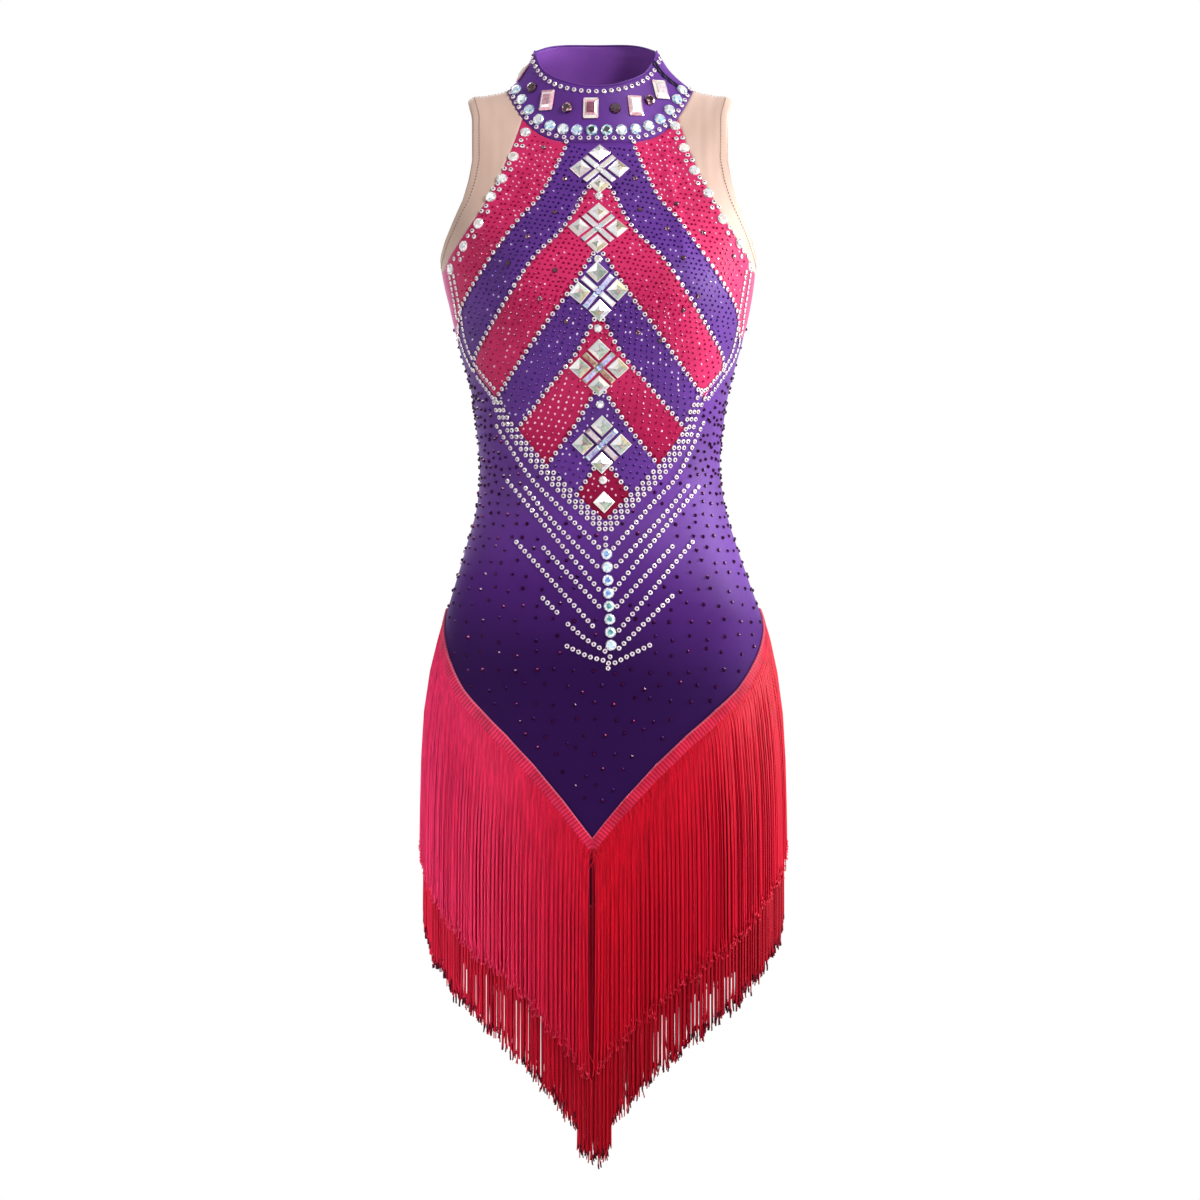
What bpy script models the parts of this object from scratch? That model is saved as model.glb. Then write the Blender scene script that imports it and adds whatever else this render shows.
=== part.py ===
"""Ballroom dance dress, filled out as when it is worn, with nobody in it.

Metres, +Z up. The front faces -Y, so the wearer's left is +X. The origin is on the centre line at the
height of the shoulder points, where the wearer carries the dress.

Every piece of cloth is a patch of one surface, the figure. A spot on it is (turn, level): turn is 0 at
the centre front, 90 degrees at the wearer's left side and 180 at the centre back, and level counts down
the rings of FIGURE. Pattern points are marked as they look from the front, on the plane y = 0.
"""

import math
from collections import namedtuple

import bmesh
import bpy
from mathutils import Matrix, Vector

# --- Driving dimensions, metres ---
WALL = 0.0015  # thickness of every cloth wall
SEAM_GAP = 0.0003  # between two pieces that are sewn together
NECK_GAP = 0.0018  # at the collar's seam, where the surface turns up
LAID_GAP = 0.0003  # under what lies on a panel
FACET_RISE = 0.00035  # how far a panel's facets can stand out over the figure

VIEW_DISTANCE = 4.1  # of the eye that the pattern is marked from, to the plane y = 0
VIEW_HEIGHT = -0.51

# The figure, over the cloth: one row for each ring, from the top of the collar down.
Ring = namedtuple("Ring", "half_width side_z front_depth front_z back_depth back_z centre_x squareness")
FIGURE = (
    Ring(0.0615, 0.0490, 0.055, 0.0070, 0.055, 0.0615, -0.0045, 2.00),  # top of the collar
    Ring(0.0735, 0.0275, 0.062, -0.0170, 0.062, 0.0380, -0.0025, 2.00),
    Ring(0.0935, 0.0092, 0.070, -0.0501, 0.071, 0.0140, 0.0000, 2.00),  # collar seam
    Ring(0.1135, 0.0040, 0.085, -0.0750, 0.085, -0.0180, 0.0000, 2.05),
    Ring(0.1315, -0.0015, 0.101, -0.1050, 0.096, -0.0620, 0.0000, 2.10),  # shoulder points
    Ring(0.1500, -0.0390, 0.116, -0.1340, 0.102, -0.1080, 0.0000, 2.15),
    Ring(0.1580, -0.1000, 0.129, -0.1600, 0.104, -0.1450, -0.0010, 2.20),
    Ring(0.1572, -0.1680, 0.137, -0.1850, 0.103, -0.1780, -0.0015, 2.20),  # underarm
    Ring(0.1490, -0.2120, 0.138, -0.2120, 0.100, -0.2120, 0.0000, 2.20),
    Ring(0.1395, -0.2520, 0.130, -0.2520, 0.095, -0.2520, 0.0000, 2.20),
    Ring(0.1288, -0.2920, 0.115, -0.2920, 0.088, -0.2920, 0.0000, 2.15),
    Ring(0.1228, -0.3320, 0.101, -0.3320, 0.081, -0.3320, 0.0000, 2.10),
    Ring(0.1200, -0.3720, 0.094, -0.3720, 0.077, -0.3720, 0.0000, 2.10),  # waist
    Ring(0.1245, -0.4100, 0.093, -0.4100, 0.082, -0.4100, 0.0010, 2.10),
    Ring(0.1350, -0.4450, 0.097, -0.4450, 0.092, -0.4450, 0.0015, 2.15),
    Ring(0.1475, -0.4850, 0.101, -0.4850, 0.104, -0.4850, 0.0025, 2.20),
    Ring(0.1605, -0.5300, 0.104, -0.5300, 0.115, -0.5300, 0.0040, 2.25),
    Ring(0.1690, -0.5900, 0.107, -0.5900, 0.121, -0.5900, 0.0035, 2.25),  # hip
    Ring(0.1725, -0.6700, 0.108, -0.6700, 0.121, -0.6700, 0.0035, 2.25),
    Ring(0.1742, -0.7700, 0.108, -0.7700, 0.119, -0.7700, 0.0035, 2.25),
    Ring(0.1742, -0.8900, 0.108, -0.8900, 0.118, -0.8900, 0.0035, 2.25),
    Ring(0.1742, -1.0900, 0.108, -1.0900, 0.118, -1.0900, 0.0035, 2.25),
)
SADDLE = 4  # how late a ring rises from its front height to its side height
COLLAR_TOP, COLLAR_SEAM, SHOULDER, UNDERARM, LAST_RING = 0, 2, 4, 7, 21

# Each cup stands out by CUP_RISE around its middle.
CUP_RISE = 0.011
CUP_X, CUP_Z = 0.080, -0.205
CUP_SPREAD_X, CUP_SPREAD_Z = 0.035, 0.050

# Marked from the front: (z, x). The centre line, which leans a little towards the wearer's left.
CENTRE_LINE = ((-0.05, 0.0), (-0.128, -0.002), (-0.267, -0.001), (-0.402, 0.004), (-0.545, 0.011))
# Marked from the front: (z, half width). Seam between the bodice and the shoulder insets.
INSET_SEAM = (
    (-0.015, 0.0770),
    (-0.045, 0.0870),
    (-0.077, 0.1010),
    (-0.109, 0.1185),
    (-0.135, 0.1345),
    (-0.158, 0.1485),
    (-0.170, 0.1530),
    (-0.176, 0.1565),
)
INSET_SEAM_END = -0.1755  # true height of its lower end on the side seam
# Marked from the front: (z, half width). Edge of the armhole.
ARMHOLE = (
    (-0.002, 0.1300),
    (-0.020, 0.1275),
    (-0.060, 0.1275),
    (-0.080, 0.1310),
    (-0.100, 0.1360),
    (-0.120, 0.1440),
    (-0.140, 0.1515),
    (-0.155, 0.1555),
    (-0.167, 0.1570),
)
# Marked from the front: (half width, z) down one side of each chevron seam. The first starts at the collar.
CHEVRON_SEAMS = (
    (
        (0.0335, -0.0450),
        (0.0450, -0.0700),
        (0.0600, -0.0975),
        (0.0800, -0.1200),
        (0.1110, -0.1620),
        (0.1360, -0.2050),
        (0.1400, -0.2400),
    ),
    (
        (0.0000, -0.0760),
        (0.0140, -0.0920),
        (0.0235, -0.1100),
        (0.0385, -0.1320),
        (0.0710, -0.1655),
        (0.1185, -0.2450),
        (0.1245, -0.2700),
    ),
    ((0.0, -0.148), (0.0065, -0.156), (0.032, -0.1945), (0.062, -0.2355), (0.104, -0.2985)),
    ((0.0, -0.212), (0.0055, -0.221), (0.0225, -0.2525), (0.045, -0.280), (0.084, -0.329)),
    ((0.0, -0.285), (0.0072, -0.295), (0.0255, -0.324), (0.056, -0.366)),
    ((0.0, -0.355), (0.027, -0.3945)),
)
CHEVRON_POINT = -0.420  # marked height of the lowest point under the chevrons
CHEVRON_SIDE = -0.2353  # true height of the chevrons' edge on the side seam

# Upper edge of the upper fringe: (degrees from the point of the V, true height).
HEM_LINE = (
    (0, -0.732),
    (5, -0.713),
    (10, -0.694),
    (20, -0.660),
    (30, -0.6315),
    (40, -0.608),
    (50, -0.587),
    (60, -0.5625),
    (70, -0.541),
    (80, -0.523),
    (90, -0.508),
)
HEM_POINT_TURN = math.radians(-3.8)  # the V's point is a little towards the wearer's right
BACK_HEM_DEPTH = 0.8  # of the front V's depth
TIER_STEP = 0.067  # from the upper edge of one tier to the next

# Fringe trims. Each lock: (drop, how far its middle stands out from the cloth).
FRINGE_LENGTH = 0.232
TAIL_LENGTH, TAIL_SPREAD = 0.024, math.radians(6)  # the lower tier hangs longer under the point
STRIP_HEIGHT = 0.012
STRIP_THICK = 0.0024
LOCK_WIDTH = 0.56  # of the distance from one lock to the next
LOCKS = 48  # in each length of trim
RAGGED = 0.004  # how much the locks' ends vary
Lock = namedtuple("Lock", "drop upper_out lower_out")
LOCK_PATH = (
    Lock(0.055, 0.0072, 0.0028),
    Lock(1.000, 0.0090, 0.0046),
)

# Set stones. Pyramids lie in fours around a cross, point to point.
CLUSTERS = (-0.069, -0.128, -0.191, -0.267, -0.344)  # marked heights, on the centre line
SINGLE_PYRAMID = -0.402
PYRAMID_SIDE, PYRAMID_RISE, PYRAMID_TABLE = 0.0152, 0.0045, 0.0018
PYRAMID_PITCH = 0.0184  # from a cluster's middle to a pyramid's
BAR_LENGTH, BAR_WIDTH, BAR_RISE, BAR_START = 0.0172, 0.0056, 0.0030, 0.0030
BAR_LIFT = 0.0001  # of the bars over the foot of the stone that joins them
CROSS_STONE_RADIUS, CROSS_STONE_TABLE, CROSS_STONE_RISE = 0.0044, 0.0026, 0.0034
ROUND_RADIUS, ROUND_TABLE, ROUND_RISE = 0.0055, 0.0032, 0.0032
SUNK = 0.0008  # how deep a raised stone's foot goes into its wall
FOOT_POINTS = 8  # round a stone's foot, where it is kept off the cloth

COLUMN_TOP, COLUMN_PITCH, COLUMN_STONES = -0.454, 0.0130, 8
EDGE_STONES = (  # marked (half width, z) along the inset seam
    (0.0735, -0.0300),
    (0.0842, -0.0535),
    (0.0950, -0.0765),
    (0.1072, -0.0970),
    (0.1203, -0.1225),
    (0.1363, -0.1460),
)

# The collar closes at the wearer's left: its back end stands outside its front end, a little apart.
COLLAR_CLOSE_CELL = 2  # of the inset's cells along the collar, from the bodice
COLLAR_SLIT = math.radians(2.5)
COLLAR_FLARE, FLARE_SPREAD = 0.0040, math.radians(25)
COLLAR_ROUNDS, COLLAR_ROUND_LEVEL, COLLAR_ROUND_SPREAD = 16, 1.62, math.radians(74)
Gem = namedtuple("Gem", "turn level")
COLLAR_BAGUETTES = (Gem(-88, 1.05), Gem(-43, 0.95), Gem(-5, 0.95), Gem(31, 0.95), Gem(58, 1.00))
COLLAR_DARK = (Gem(-61, 1.03), Gem(-24, 0.96), Gem(14, 0.96), Gem(44.5, 0.98))
BAGUETTE_WIDTH, BAGUETTE_HEIGHT, BAGUETTE_RISE = 0.0150, 0.0215, 0.0035

# Cells in the patches.
SEAM_CELLS = 12  # down the first chevron seam
NECK_CELLS = 2  # along the collar inside the first chevron seam
CHEVRON_CELLS = 2  # across a chevron
DIAMOND_CELLS = 4  # across the diamond under the chevrons, a multiple of the line above
SIDE_CELLS = 4  # across a side piece
INSET_CELLS = 9  # down the inset seam
INSET_NECK_CELLS = 3  # along the collar over the inset
INSET_ACROSS = 3
BODY_ROWS = 12
BACK_COLUMNS = 20
BACK_MIDDLE_LEVEL = 8.2  # at the centre back, of the row that starts where the insets end
BACK_ROWS = 11
COLLAR_ROWS = 3

PURPLE, FUCHSIA, SKIN = "purple_lycra", "fuchsia_lycra", "skin_tulle"
FRINGE, CRYSTAL = "crimson_rayon_fringe", "foiled_glass_crystal"
COLOURS = {  # (red, green, blue), roughness, metallic
    PURPLE: ((0.082, 0.020, 0.210), 0.45, 0.0),
    FUCHSIA: ((0.560, 0.015, 0.130), 0.45, 0.0),
    SKIN: ((0.700, 0.480, 0.360), 0.60, 0.0),
    FRINGE: ((0.600, 0.010, 0.040), 0.40, 0.0),
    CRYSTAL: ((0.850, 0.870, 0.900), 0.08, 0.6),
}


# --- Curves ---
def lerp(a, b, t):
    return a + (b - a) * t


def blend(a, b, t):
    """A tuple that is t of the way from a to b."""
    return tuple(lerp(p, q, t) for p, q in zip(a, b))


def through(rows, place):
    """The row at this place on a smooth curve through the rows (Catmull-Rom)."""
    last = len(rows) - 1
    i = min(max(int(place), 0), last - 1)
    t = place - i
    b, c = rows[i], rows[i + 1]
    a = rows[i - 1] if i else blend(b, c, -1)
    d = rows[i + 2] if i + 2 <= last else blend(b, c, 2)
    weights = (
        -0.5 * t + t * t - 0.5 * t**3,
        1 - 2.5 * t * t + 1.5 * t**3,
        0.5 * t + 2 * t * t - 1.5 * t**3,
        -0.5 * t * t + 0.5 * t**3,
    )
    return tuple(sum(w * value for w, value in zip(weights, column)) for column in zip(a, b, c, d))


def read_table(table, key):
    """The second column of a table at this value of its first, by straight lines."""
    rising = sorted(table)
    if key <= rising[0][0]:
        return rising[0][1]
    for (low, first), (high, second) in zip(rising, rising[1:]):
        if key <= high:
            return lerp(first, second, (key - low) / (high - low))
    return rising[-1][1]


def solve(gap, low, high, steps=26):
    """Where gap, which is below zero at low and above it at high, passes zero."""
    for _ in range(steps):
        middle = 0.5 * (low + high)
        if gap(middle) < 0:
            low = middle
        else:
            high = middle
    return 0.5 * (low + high)


# --- The figure ---
def cup(x, z):
    """How far the cups stand out at this place on the front."""
    side = (abs(x) - CUP_X) / CUP_SPREAD_X
    height = (z - CUP_Z) / CUP_SPREAD_Z
    return CUP_RISE * math.exp(-side * side - height * height)


def figure_point(turn, level, out=0.0):
    """The point of the cloth's outside at this spot, moved out level by out."""
    ring = Ring(*through(FIGURE, level))
    sine, cosine = math.sin(turn), math.cos(turn)
    power = ring.squareness
    reach = (abs(sine) ** power + abs(cosine) ** power) ** (-1 / power)
    depth, end_z = (ring.front_depth, ring.front_z) if cosine > 0 else (ring.back_depth, ring.back_z)
    x = ring.centre_x + (ring.half_width + out) * sine * reach
    y = -(depth + out) * cosine * reach
    z = lerp(end_z, ring.side_z, abs(sine) ** SADDLE)
    if cosine > 0:
        y -= cup(x, z) * min(1.0, 2 * cosine)
    return Vector((x, y, z))


def figure_normal(turn, level):
    """The outward direction at this spot."""
    step = 1e-3
    across = figure_point(turn + step, level) - figure_point(turn - step, level)
    down = figure_point(turn, min(level + step, LAST_RING)) - figure_point(turn, max(level - step, 0))
    return down.cross(across).normalized()


def inside_point(turn, level):
    """The same spot on the inside of the cloth."""
    return figure_point(turn, level) - WALL * figure_normal(turn, level)


def marked(point):
    """(x, z) of a point as it is marked from the front."""
    scale = VIEW_DISTANCE / (VIEW_DISTANCE + point.y)
    return point.x * scale, VIEW_HEIGHT + (point.z - VIEW_HEIGHT) * scale


def turn_at(x, level):
    """The turn on the front half where this level is marked at x."""
    return solve(lambda turn: marked(figure_point(turn, level))[0] - x, -math.pi / 2, math.pi / 2)


def front_spot(x, z):
    """The spot on the front that is marked at (x, z)."""
    level = solve(lambda level: z - marked(figure_point(turn_at(x, level), level))[1], COLLAR_TOP, LAST_RING)
    return turn_at(x, level), level


def level_at(z, turn=math.pi / 2):
    """The level that has this true height."""
    return solve(lambda level: z - figure_point(turn, level).z, COLLAR_TOP, LAST_RING)


def centre_x(z):
    return read_table(CENTRE_LINE, z)


def edge_turn(table, level):
    """The turn on the wearer's left where a level meets an edge given as (z, half width)."""

    def gap(turn):
        x, z = marked(figure_point(turn, level))
        return x - read_table(table, z)

    return solve(gap, 0.0, math.pi / 2)


def hem_z(turn, tier):
    """Height of a fringe's upper edge at this turn, in radians. The upper tier is 0, the lower 1."""
    turn = math.remainder(turn, 2 * math.pi)
    front = abs(turn) <= math.pi / 2
    from_middle = abs(turn) if front else math.pi - abs(turn)
    if front:
        shift = HEM_POINT_TURN * (1 - from_middle / (math.pi / 2))
        from_middle = abs(turn - shift)
    height = read_table(HEM_LINE, math.degrees(from_middle))
    if not front:
        height = lerp(HEM_LINE[-1][1], height, BACK_HEM_DEPTH)
    return height - tier * TIER_STEP


def even_spots(spots, cells):
    """The same line of spots with its points spread evenly along the cloth."""
    points = [figure_point(*spot) for spot in spots]
    lengths = [0.0]
    for a, b in zip(points, points[1:]):
        lengths.append(lengths[-1] + (b - a).length)
    found, i = [], 0
    for cell in range(cells + 1):
        want = lengths[-1] * cell / cells
        while i < len(spots) - 2 and lengths[i + 1] < want:
            i += 1
        span = lengths[i + 1] - lengths[i]
        found.append(blend(spots[i], spots[i + 1], (want - lengths[i]) / span))
    return found


def between(first, last, cells):
    """Spots on the straight line of the pattern from one spot to another."""
    return [blend(first, last, i / cells) for i in range(cells + 1)]


# --- Pattern lines, each a list of spots ---
def chevron_seam(number, side):
    """One side of a chevron seam, from the middle or the collar down. side is 1 on the wearer's left."""
    table = CHEVRON_SEAMS[number]
    if len(table) == 2:
        ends = [front_spot(centre_x(z) + side * half, z) for half, z in table]
        return between(*ends, SEAM_CELLS + NECK_CELLS)
    fine = 6 * (len(table) - 1)
    marks = [through(table, i / 6) for i in range(fine + 1)]
    spots = [front_spot(centre_x(z) + side * half, z) for half, z in marks]
    if number == 0:
        spots[0] = (turn_at(side * table[0][0], COLLAR_SEAM), COLLAR_SEAM)
        return even_spots(spots, SEAM_CELLS)
    return even_spots(spots, SEAM_CELLS + NECK_CELLS)


def joined(*lines):
    """Lines that follow each other, with their shared points once."""
    whole = list(lines[0])
    for line in lines[1:]:
        whole += line[1:]
    return whole


def whole_chevron(number):
    """A chevron seam from its lower end on the wearer's right, over the middle, to the one on the left."""
    right, left = SEAMS[number]
    if number == 0:
        right, left = joined(neck_arc(-1), right), joined(neck_arc(1), left)
    return joined(right[::-1], left)


def neck_arc(side):
    """The collar's seam from the centre front to the first chevron seam."""
    return between((0.0, COLLAR_SEAM), (side * NECK_MARKS[0], COLLAR_SEAM), NECK_CELLS)


def inset_seam():
    """The inset's seam on the wearer's left front, from the collar down to the side seam."""
    low = level_at(INSET_SEAM_END)
    fine = 60
    levels = [lerp(COLLAR_SEAM, low, i / fine) for i in range(fine + 1)]
    spots = [(edge_turn(INSET_SEAM, level), level) for level in levels]
    spots[-1] = (math.pi / 2, low)
    return even_spots(spots, INSET_CELLS)


def armhole_edge():
    """The armhole's front edge on the wearer's left, from the underarm up to the shoulder point."""
    fine = 60
    levels = [lerp(UNDERARM, SHOULDER, i / fine) for i in range(fine + 1)]
    spots = [(edge_turn(ARMHOLE, level), level) for level in levels]
    spots[0], spots[-1] = (math.pi / 2, UNDERARM), (math.pi / 2, SHOULDER)
    return even_spots(spots, INSET_CELLS + INSET_NECK_CELLS)


def hem_spot(turn):
    """Where the cloth ends: at the lower edge of the lower fringe's strip."""
    return turn, level_at(hem_z(turn, 1) - STRIP_HEIGHT)


def mirrored(spots):
    return [(-turn, level) for turn, level in spots]


def to_back(spots):
    return [(math.pi - turn, level) for turn, level in spots]


NECK_MARKS = (
    turn_at(CHEVRON_SEAMS[0][0][0], COLLAR_SEAM),
    edge_turn(INSET_SEAM, COLLAR_SEAM),
)
COLLAR_CLOSE = lerp(NECK_MARKS[1], math.pi / 2, COLLAR_CLOSE_CELL / INSET_NECK_CELLS)
INSET_LINE = inset_seam()
SEAMS = [(chevron_seam(n, -1), chevron_seam(n, 1)) for n in range(len(CHEVRON_SEAMS))]


# --- Making solids ---
def material(name):
    made = bpy.data.materials.get(name)
    if made:
        return made
    colour, roughness, metallic = COLOURS[name]
    made = bpy.data.materials.new(name)
    made.use_nodes = True
    shader = made.node_tree.nodes["Principled BSDF"]
    shader.inputs["Base Color"].default_value = (*colour, 1)
    shader.inputs["Roughness"].default_value = roughness
    shader.inputs["Metallic"].default_value = metallic
    return made


def add_object(name, bm, finish, collection="dance_dress"):
    """An object from a bmesh, in its collection."""
    mesh = bpy.data.meshes.new(name)
    bm.to_mesh(mesh)
    bm.free()
    mesh.materials.append(material(finish))
    obj = bpy.data.objects.new(name, mesh)
    bpy.data.collections[collection].objects.link(obj)
    return obj


def inward(points, i, j, next_i, next_j, along_i, along_j):
    """From an edge point towards the patch's inside, square to the edge."""
    rows, columns = len(points), len(points[0])
    low = points[max(i - along_i, 0)][max(j - along_j, 0)]
    high = points[min(i + along_i, rows - 1)][min(j + along_j, columns - 1)]
    edge = (high - low).normalized()
    way = points[next_i][next_j] - points[i][j]
    return (way - way.dot(edge) * edge).normalized()


def pulled_in(points, gaps):
    """The grid with its four edges moved inwards. gaps are for the first and last row and column."""
    rows, columns = len(points), len(points[0])
    moves = [[Vector() for _ in range(columns)] for _ in range(rows)]
    for j in range(columns):
        moves[0][j] += gaps[0] * inward(points, 0, j, 1, j, 0, 1)
        moves[-1][j] += gaps[1] * inward(points, rows - 1, j, rows - 2, j, 0, 1)
    for i in range(rows):
        moves[i][0] += gaps[2] * inward(points, i, 0, i, 1, 1, 0)
        moves[i][-1] += gaps[3] * inward(points, i, columns - 1, i, columns - 2, 1, 0)
    return [[p + m for p, m in zip(*pair)] for pair in zip(points, moves)]


def patch(rows, gaps):
    """A bmesh of the cloth's inside over a grid of spots, facing out."""
    points = pulled_in([[inside_point(*spot) for spot in row] for row in rows], gaps)
    bm = bmesh.new()
    grid = [[bm.verts.new(point) for point in row] for row in points]
    for upper, lower in zip(grid, grid[1:]):
        for a, b, c, d in zip(upper, upper[1:], lower[1:], lower):
            bm.faces.new((a, b, c, d))
    bm.normal_update()
    i, j = len(rows) // 2, len(rows[0]) // 2
    face = grid[i][j].link_faces[0]
    if face.normal.dot(figure_normal(*rows[i][j])) < 0:
        bmesh.ops.reverse_faces(bm, faces=bm.faces)
    return bm


def cloth(name, rows, finish, gaps=(SEAM_GAP / 2,) * 4, stones=None):
    """A wall of cloth over a grid of spots, with any stones raised on its outside."""
    obj = add_object(name, patch(rows, gaps), finish)
    wall = obj.modifiers.new("Wall", "SOLIDIFY")
    wall.thickness = WALL
    wall.offset = 1
    if stones:
        raised = obj.modifiers.new("Raised stones", "BOOLEAN")
        raised.operation = "UNION"
        raised.solver = "EXACT"
        raised.object = stones
    return obj


def ruled(first, last, cells):
    """Rows of spots from one line to another."""
    return [[blend(a, b, i / cells) for a, b in zip(first, last)] for i in range(cells + 1)]


def seat(turn, level, lift, spin=0.0):
    """A frame that stands on the cloth at a spot: X across, Y up the figure, Z outwards."""
    z = figure_normal(turn, level)
    up = figure_point(turn, level - 0.01) - figure_point(turn, level + 0.01)
    x = up.cross(z).normalized()
    y = z.cross(x)
    frame = Matrix((x, y, z)).transposed().to_4x4()
    frame.translation = figure_point(turn, level) + lift * z
    return frame @ Matrix.Rotation(spin, 4, "Z")


def add_frustum(bm, frame, radius, table, rise, sides):
    """A cut stone: a cone with a flat table, standing on the frame."""
    middle = Matrix.Translation((0, 0, rise / 2))
    bmesh.ops.create_cone(
        bm, cap_ends=True, segments=sides, radius1=radius, radius2=table, depth=rise, matrix=frame @ middle
    )


def add_block(bm, frame, width, length, rise, start):
    """A block that runs from start along the frame's Y."""
    place = Matrix.Translation((0, start + length / 2, rise / 2)) @ Matrix.Diagonal((width, length, rise, 1))
    bmesh.ops.create_cube(bm, size=1, matrix=frame @ place)


def helper(name, bm):
    """A hidden object that a modifier uses."""
    obj = add_object(name, bm, CRYSTAL, "helpers")
    obj.hide_render = True
    obj.display_type = "WIRE"
    return obj


def round_stones(name, spots):
    """Round stones with their feet sunk in the cloth."""
    bm = bmesh.new()
    for spot in spots:
        add_frustum(bm, seat(*spot, -SUNK), ROUND_RADIUS, ROUND_TABLE, ROUND_RISE + SUNK, 8)
    return helper(name, bm)


# --- Collar ---
def collar_out(turn, level):
    """How far the collar's back end stands out near its closing: most at the top, not at all at the seam."""
    past = (turn - COLLAR_CLOSE) % (2 * math.pi)
    return COLLAR_FLARE * max(0.0, 1 - past / FLARE_SPREAD) ** 2 * (1 - level / COLLAR_SEAM)


def collar_turns():
    """Turns along the collar, from its front end at the closing, over the front and round to the back end.

    Between the ends they match the points of the panels' upper edges.
    """
    inner, outer = NECK_MARKS
    half = [inner * i / NECK_CELLS for i in range(NECK_CELLS)]
    half += [lerp(inner, outer, i / SIDE_CELLS) for i in range(SIDE_CELLS)]
    half += [lerp(outer, math.pi / 2, i / INSET_NECK_CELLS) for i in range(INSET_NECK_CELLS)]
    back_outer = math.pi - outer
    columns = BACK_COLUMNS // 2
    back = [lerp(math.pi / 2, back_outer, i / INSET_NECK_CELLS) for i in range(INSET_NECK_CELLS)]
    back += [lerp(back_outer, math.pi, i / columns) for i in range(columns)]
    left = half + back
    whole = [-turn for turn in left[:0:-1]] + left
    turns = [turn for turn in whole if turn < COLLAR_CLOSE - math.radians(3)] + [COLLAR_CLOSE]
    start = COLLAR_CLOSE + COLLAR_SLIT
    rest = [turn for turn in left if turn > start + math.radians(3)]
    return [start] + rest + [math.pi] + [turn + 2 * math.pi for turn in turns]


def collar_patch_point(turn, level):
    """The collar's spots lie on the figure, but for the back end, which stands out."""
    return figure_point(turn, level, collar_out(turn, level)) - WALL * figure_normal(turn, level)


def make_collar():
    turns = collar_turns()
    levels = [lerp(COLLAR_SEAM, COLLAR_TOP, i / COLLAR_ROWS) for i in range(COLLAR_ROWS + 1)]
    points = [[collar_patch_point(turn, level) for turn in turns] for level in levels]
    points = pulled_in(points, (NECK_GAP / 2, 0.0, 0.0, 0.0))
    bm = bmesh.new()
    grid = [[bm.verts.new(point) for point in row] for row in points]
    for lower, upper in zip(grid, grid[1:]):
        for a, b, c, d in zip(lower, lower[1:], upper[1:], upper):
            bm.faces.new((a, b, c, d))
    obj = add_object("collar", bm, PURPLE)
    wall = obj.modifiers.new("Wall", "SOLIDIFY")
    wall.thickness = WALL
    wall.offset = 1
    raised = obj.modifiers.new("Raised stones", "BOOLEAN")
    raised.operation = "UNION"
    raised.solver = "EXACT"
    raised.object = collar_stones()


def collar_stones():
    bm = bmesh.new()
    step = 2 * COLLAR_ROUND_SPREAD / (COLLAR_ROUNDS - 1)
    for i in range(COLLAR_ROUNDS):
        frame = seat(i * step - COLLAR_ROUND_SPREAD, COLLAR_ROUND_LEVEL, -SUNK)
        add_frustum(bm, frame, ROUND_RADIUS, ROUND_TABLE, ROUND_RISE + SUNK, 8)
    for gem in COLLAR_DARK:
        frame = seat(math.radians(gem.turn), gem.level, -SUNK)
        add_frustum(bm, frame, ROUND_RADIUS, ROUND_TABLE, ROUND_RISE + SUNK, 8)
    for gem in COLLAR_BAGUETTES:
        frame = seat(math.radians(gem.turn), gem.level, -SUNK)
        rise = BAGUETTE_RISE + SUNK
        add_block(bm, frame, BAGUETTE_WIDTH, BAGUETTE_HEIGHT, rise, -BAGUETTE_HEIGHT / 2)
    return helper("collar_stones", bm)


# --- Bodice and body ---
def make_insets():
    """The four shoulder insets. Each is ruled from its seam with the bodice and collar to the armhole."""
    neck = between((NECK_MARKS[1], COLLAR_SEAM), (math.pi / 2, COLLAR_SEAM), INSET_NECK_CELLS)
    inner = joined(INSET_LINE[::-1], neck)
    rows = ruled(inner, armhole_edge(), INSET_ACROSS)
    gaps = (NECK_GAP / 2, 0.0, SEAM_GAP / 2, SEAM_GAP / 2)
    for face, turned in (("front", lambda spots: spots), ("back", to_back)):
        left = [turned(row) for row in rows]
        cloth(f"shoulder_{face}_left", left, SKIN, gaps)
        cloth(f"shoulder_{face}_right", [mirrored(row) for row in left], SKIN, gaps)


def make_bodice_sides():
    low = INSET_LINE[-1]
    side_cells = SEAM_CELLS - INSET_CELLS
    outer = joined(INSET_LINE, between(low, (math.pi / 2, level_at(CHEVRON_SIDE)), side_cells))
    gaps = (SEAM_GAP / 2, SEAM_GAP / 2, NECK_GAP / 2, SEAM_GAP / 2)
    for name, side, edge in (("left", 1, outer), ("right", -1, mirrored(outer))):
        inner = SEAMS[0][(side + 1) // 2]
        spots = [front_spot(side * half, z) for half, z in EDGE_STONES]
        stones = round_stones(f"edge_stones_{name}", spots)
        cloth(f"bodice_side_{name}", ruled(inner, edge, SIDE_CELLS), FUCHSIA, gaps, stones)


def make_chevrons():
    for number in range(len(CHEVRON_SEAMS) - 1):
        colour, finish = (("purple", PURPLE), ("fuchsia", FUCHSIA))[number % 2]
        rows = ruled(whole_chevron(number), whole_chevron(number + 1), CHEVRON_CELLS)
        gaps = (SEAM_GAP / 2,) * 4
        cloth(f"chevron_{number + 1}_{colour}", rows, finish, gaps)
    right, left = SEAMS[-1]
    top, low = right[0], front_spot(centre_x(CHEVRON_POINT), CHEVRON_POINT)
    upper = between(top, left[-1], DIAMOND_CELLS)
    lower = between(right[-1], low, DIAMOND_CELLS)
    cloth("chevron_6_fuchsia", ruled(upper, lower, DIAMOND_CELLS), FUCHSIA)


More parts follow.
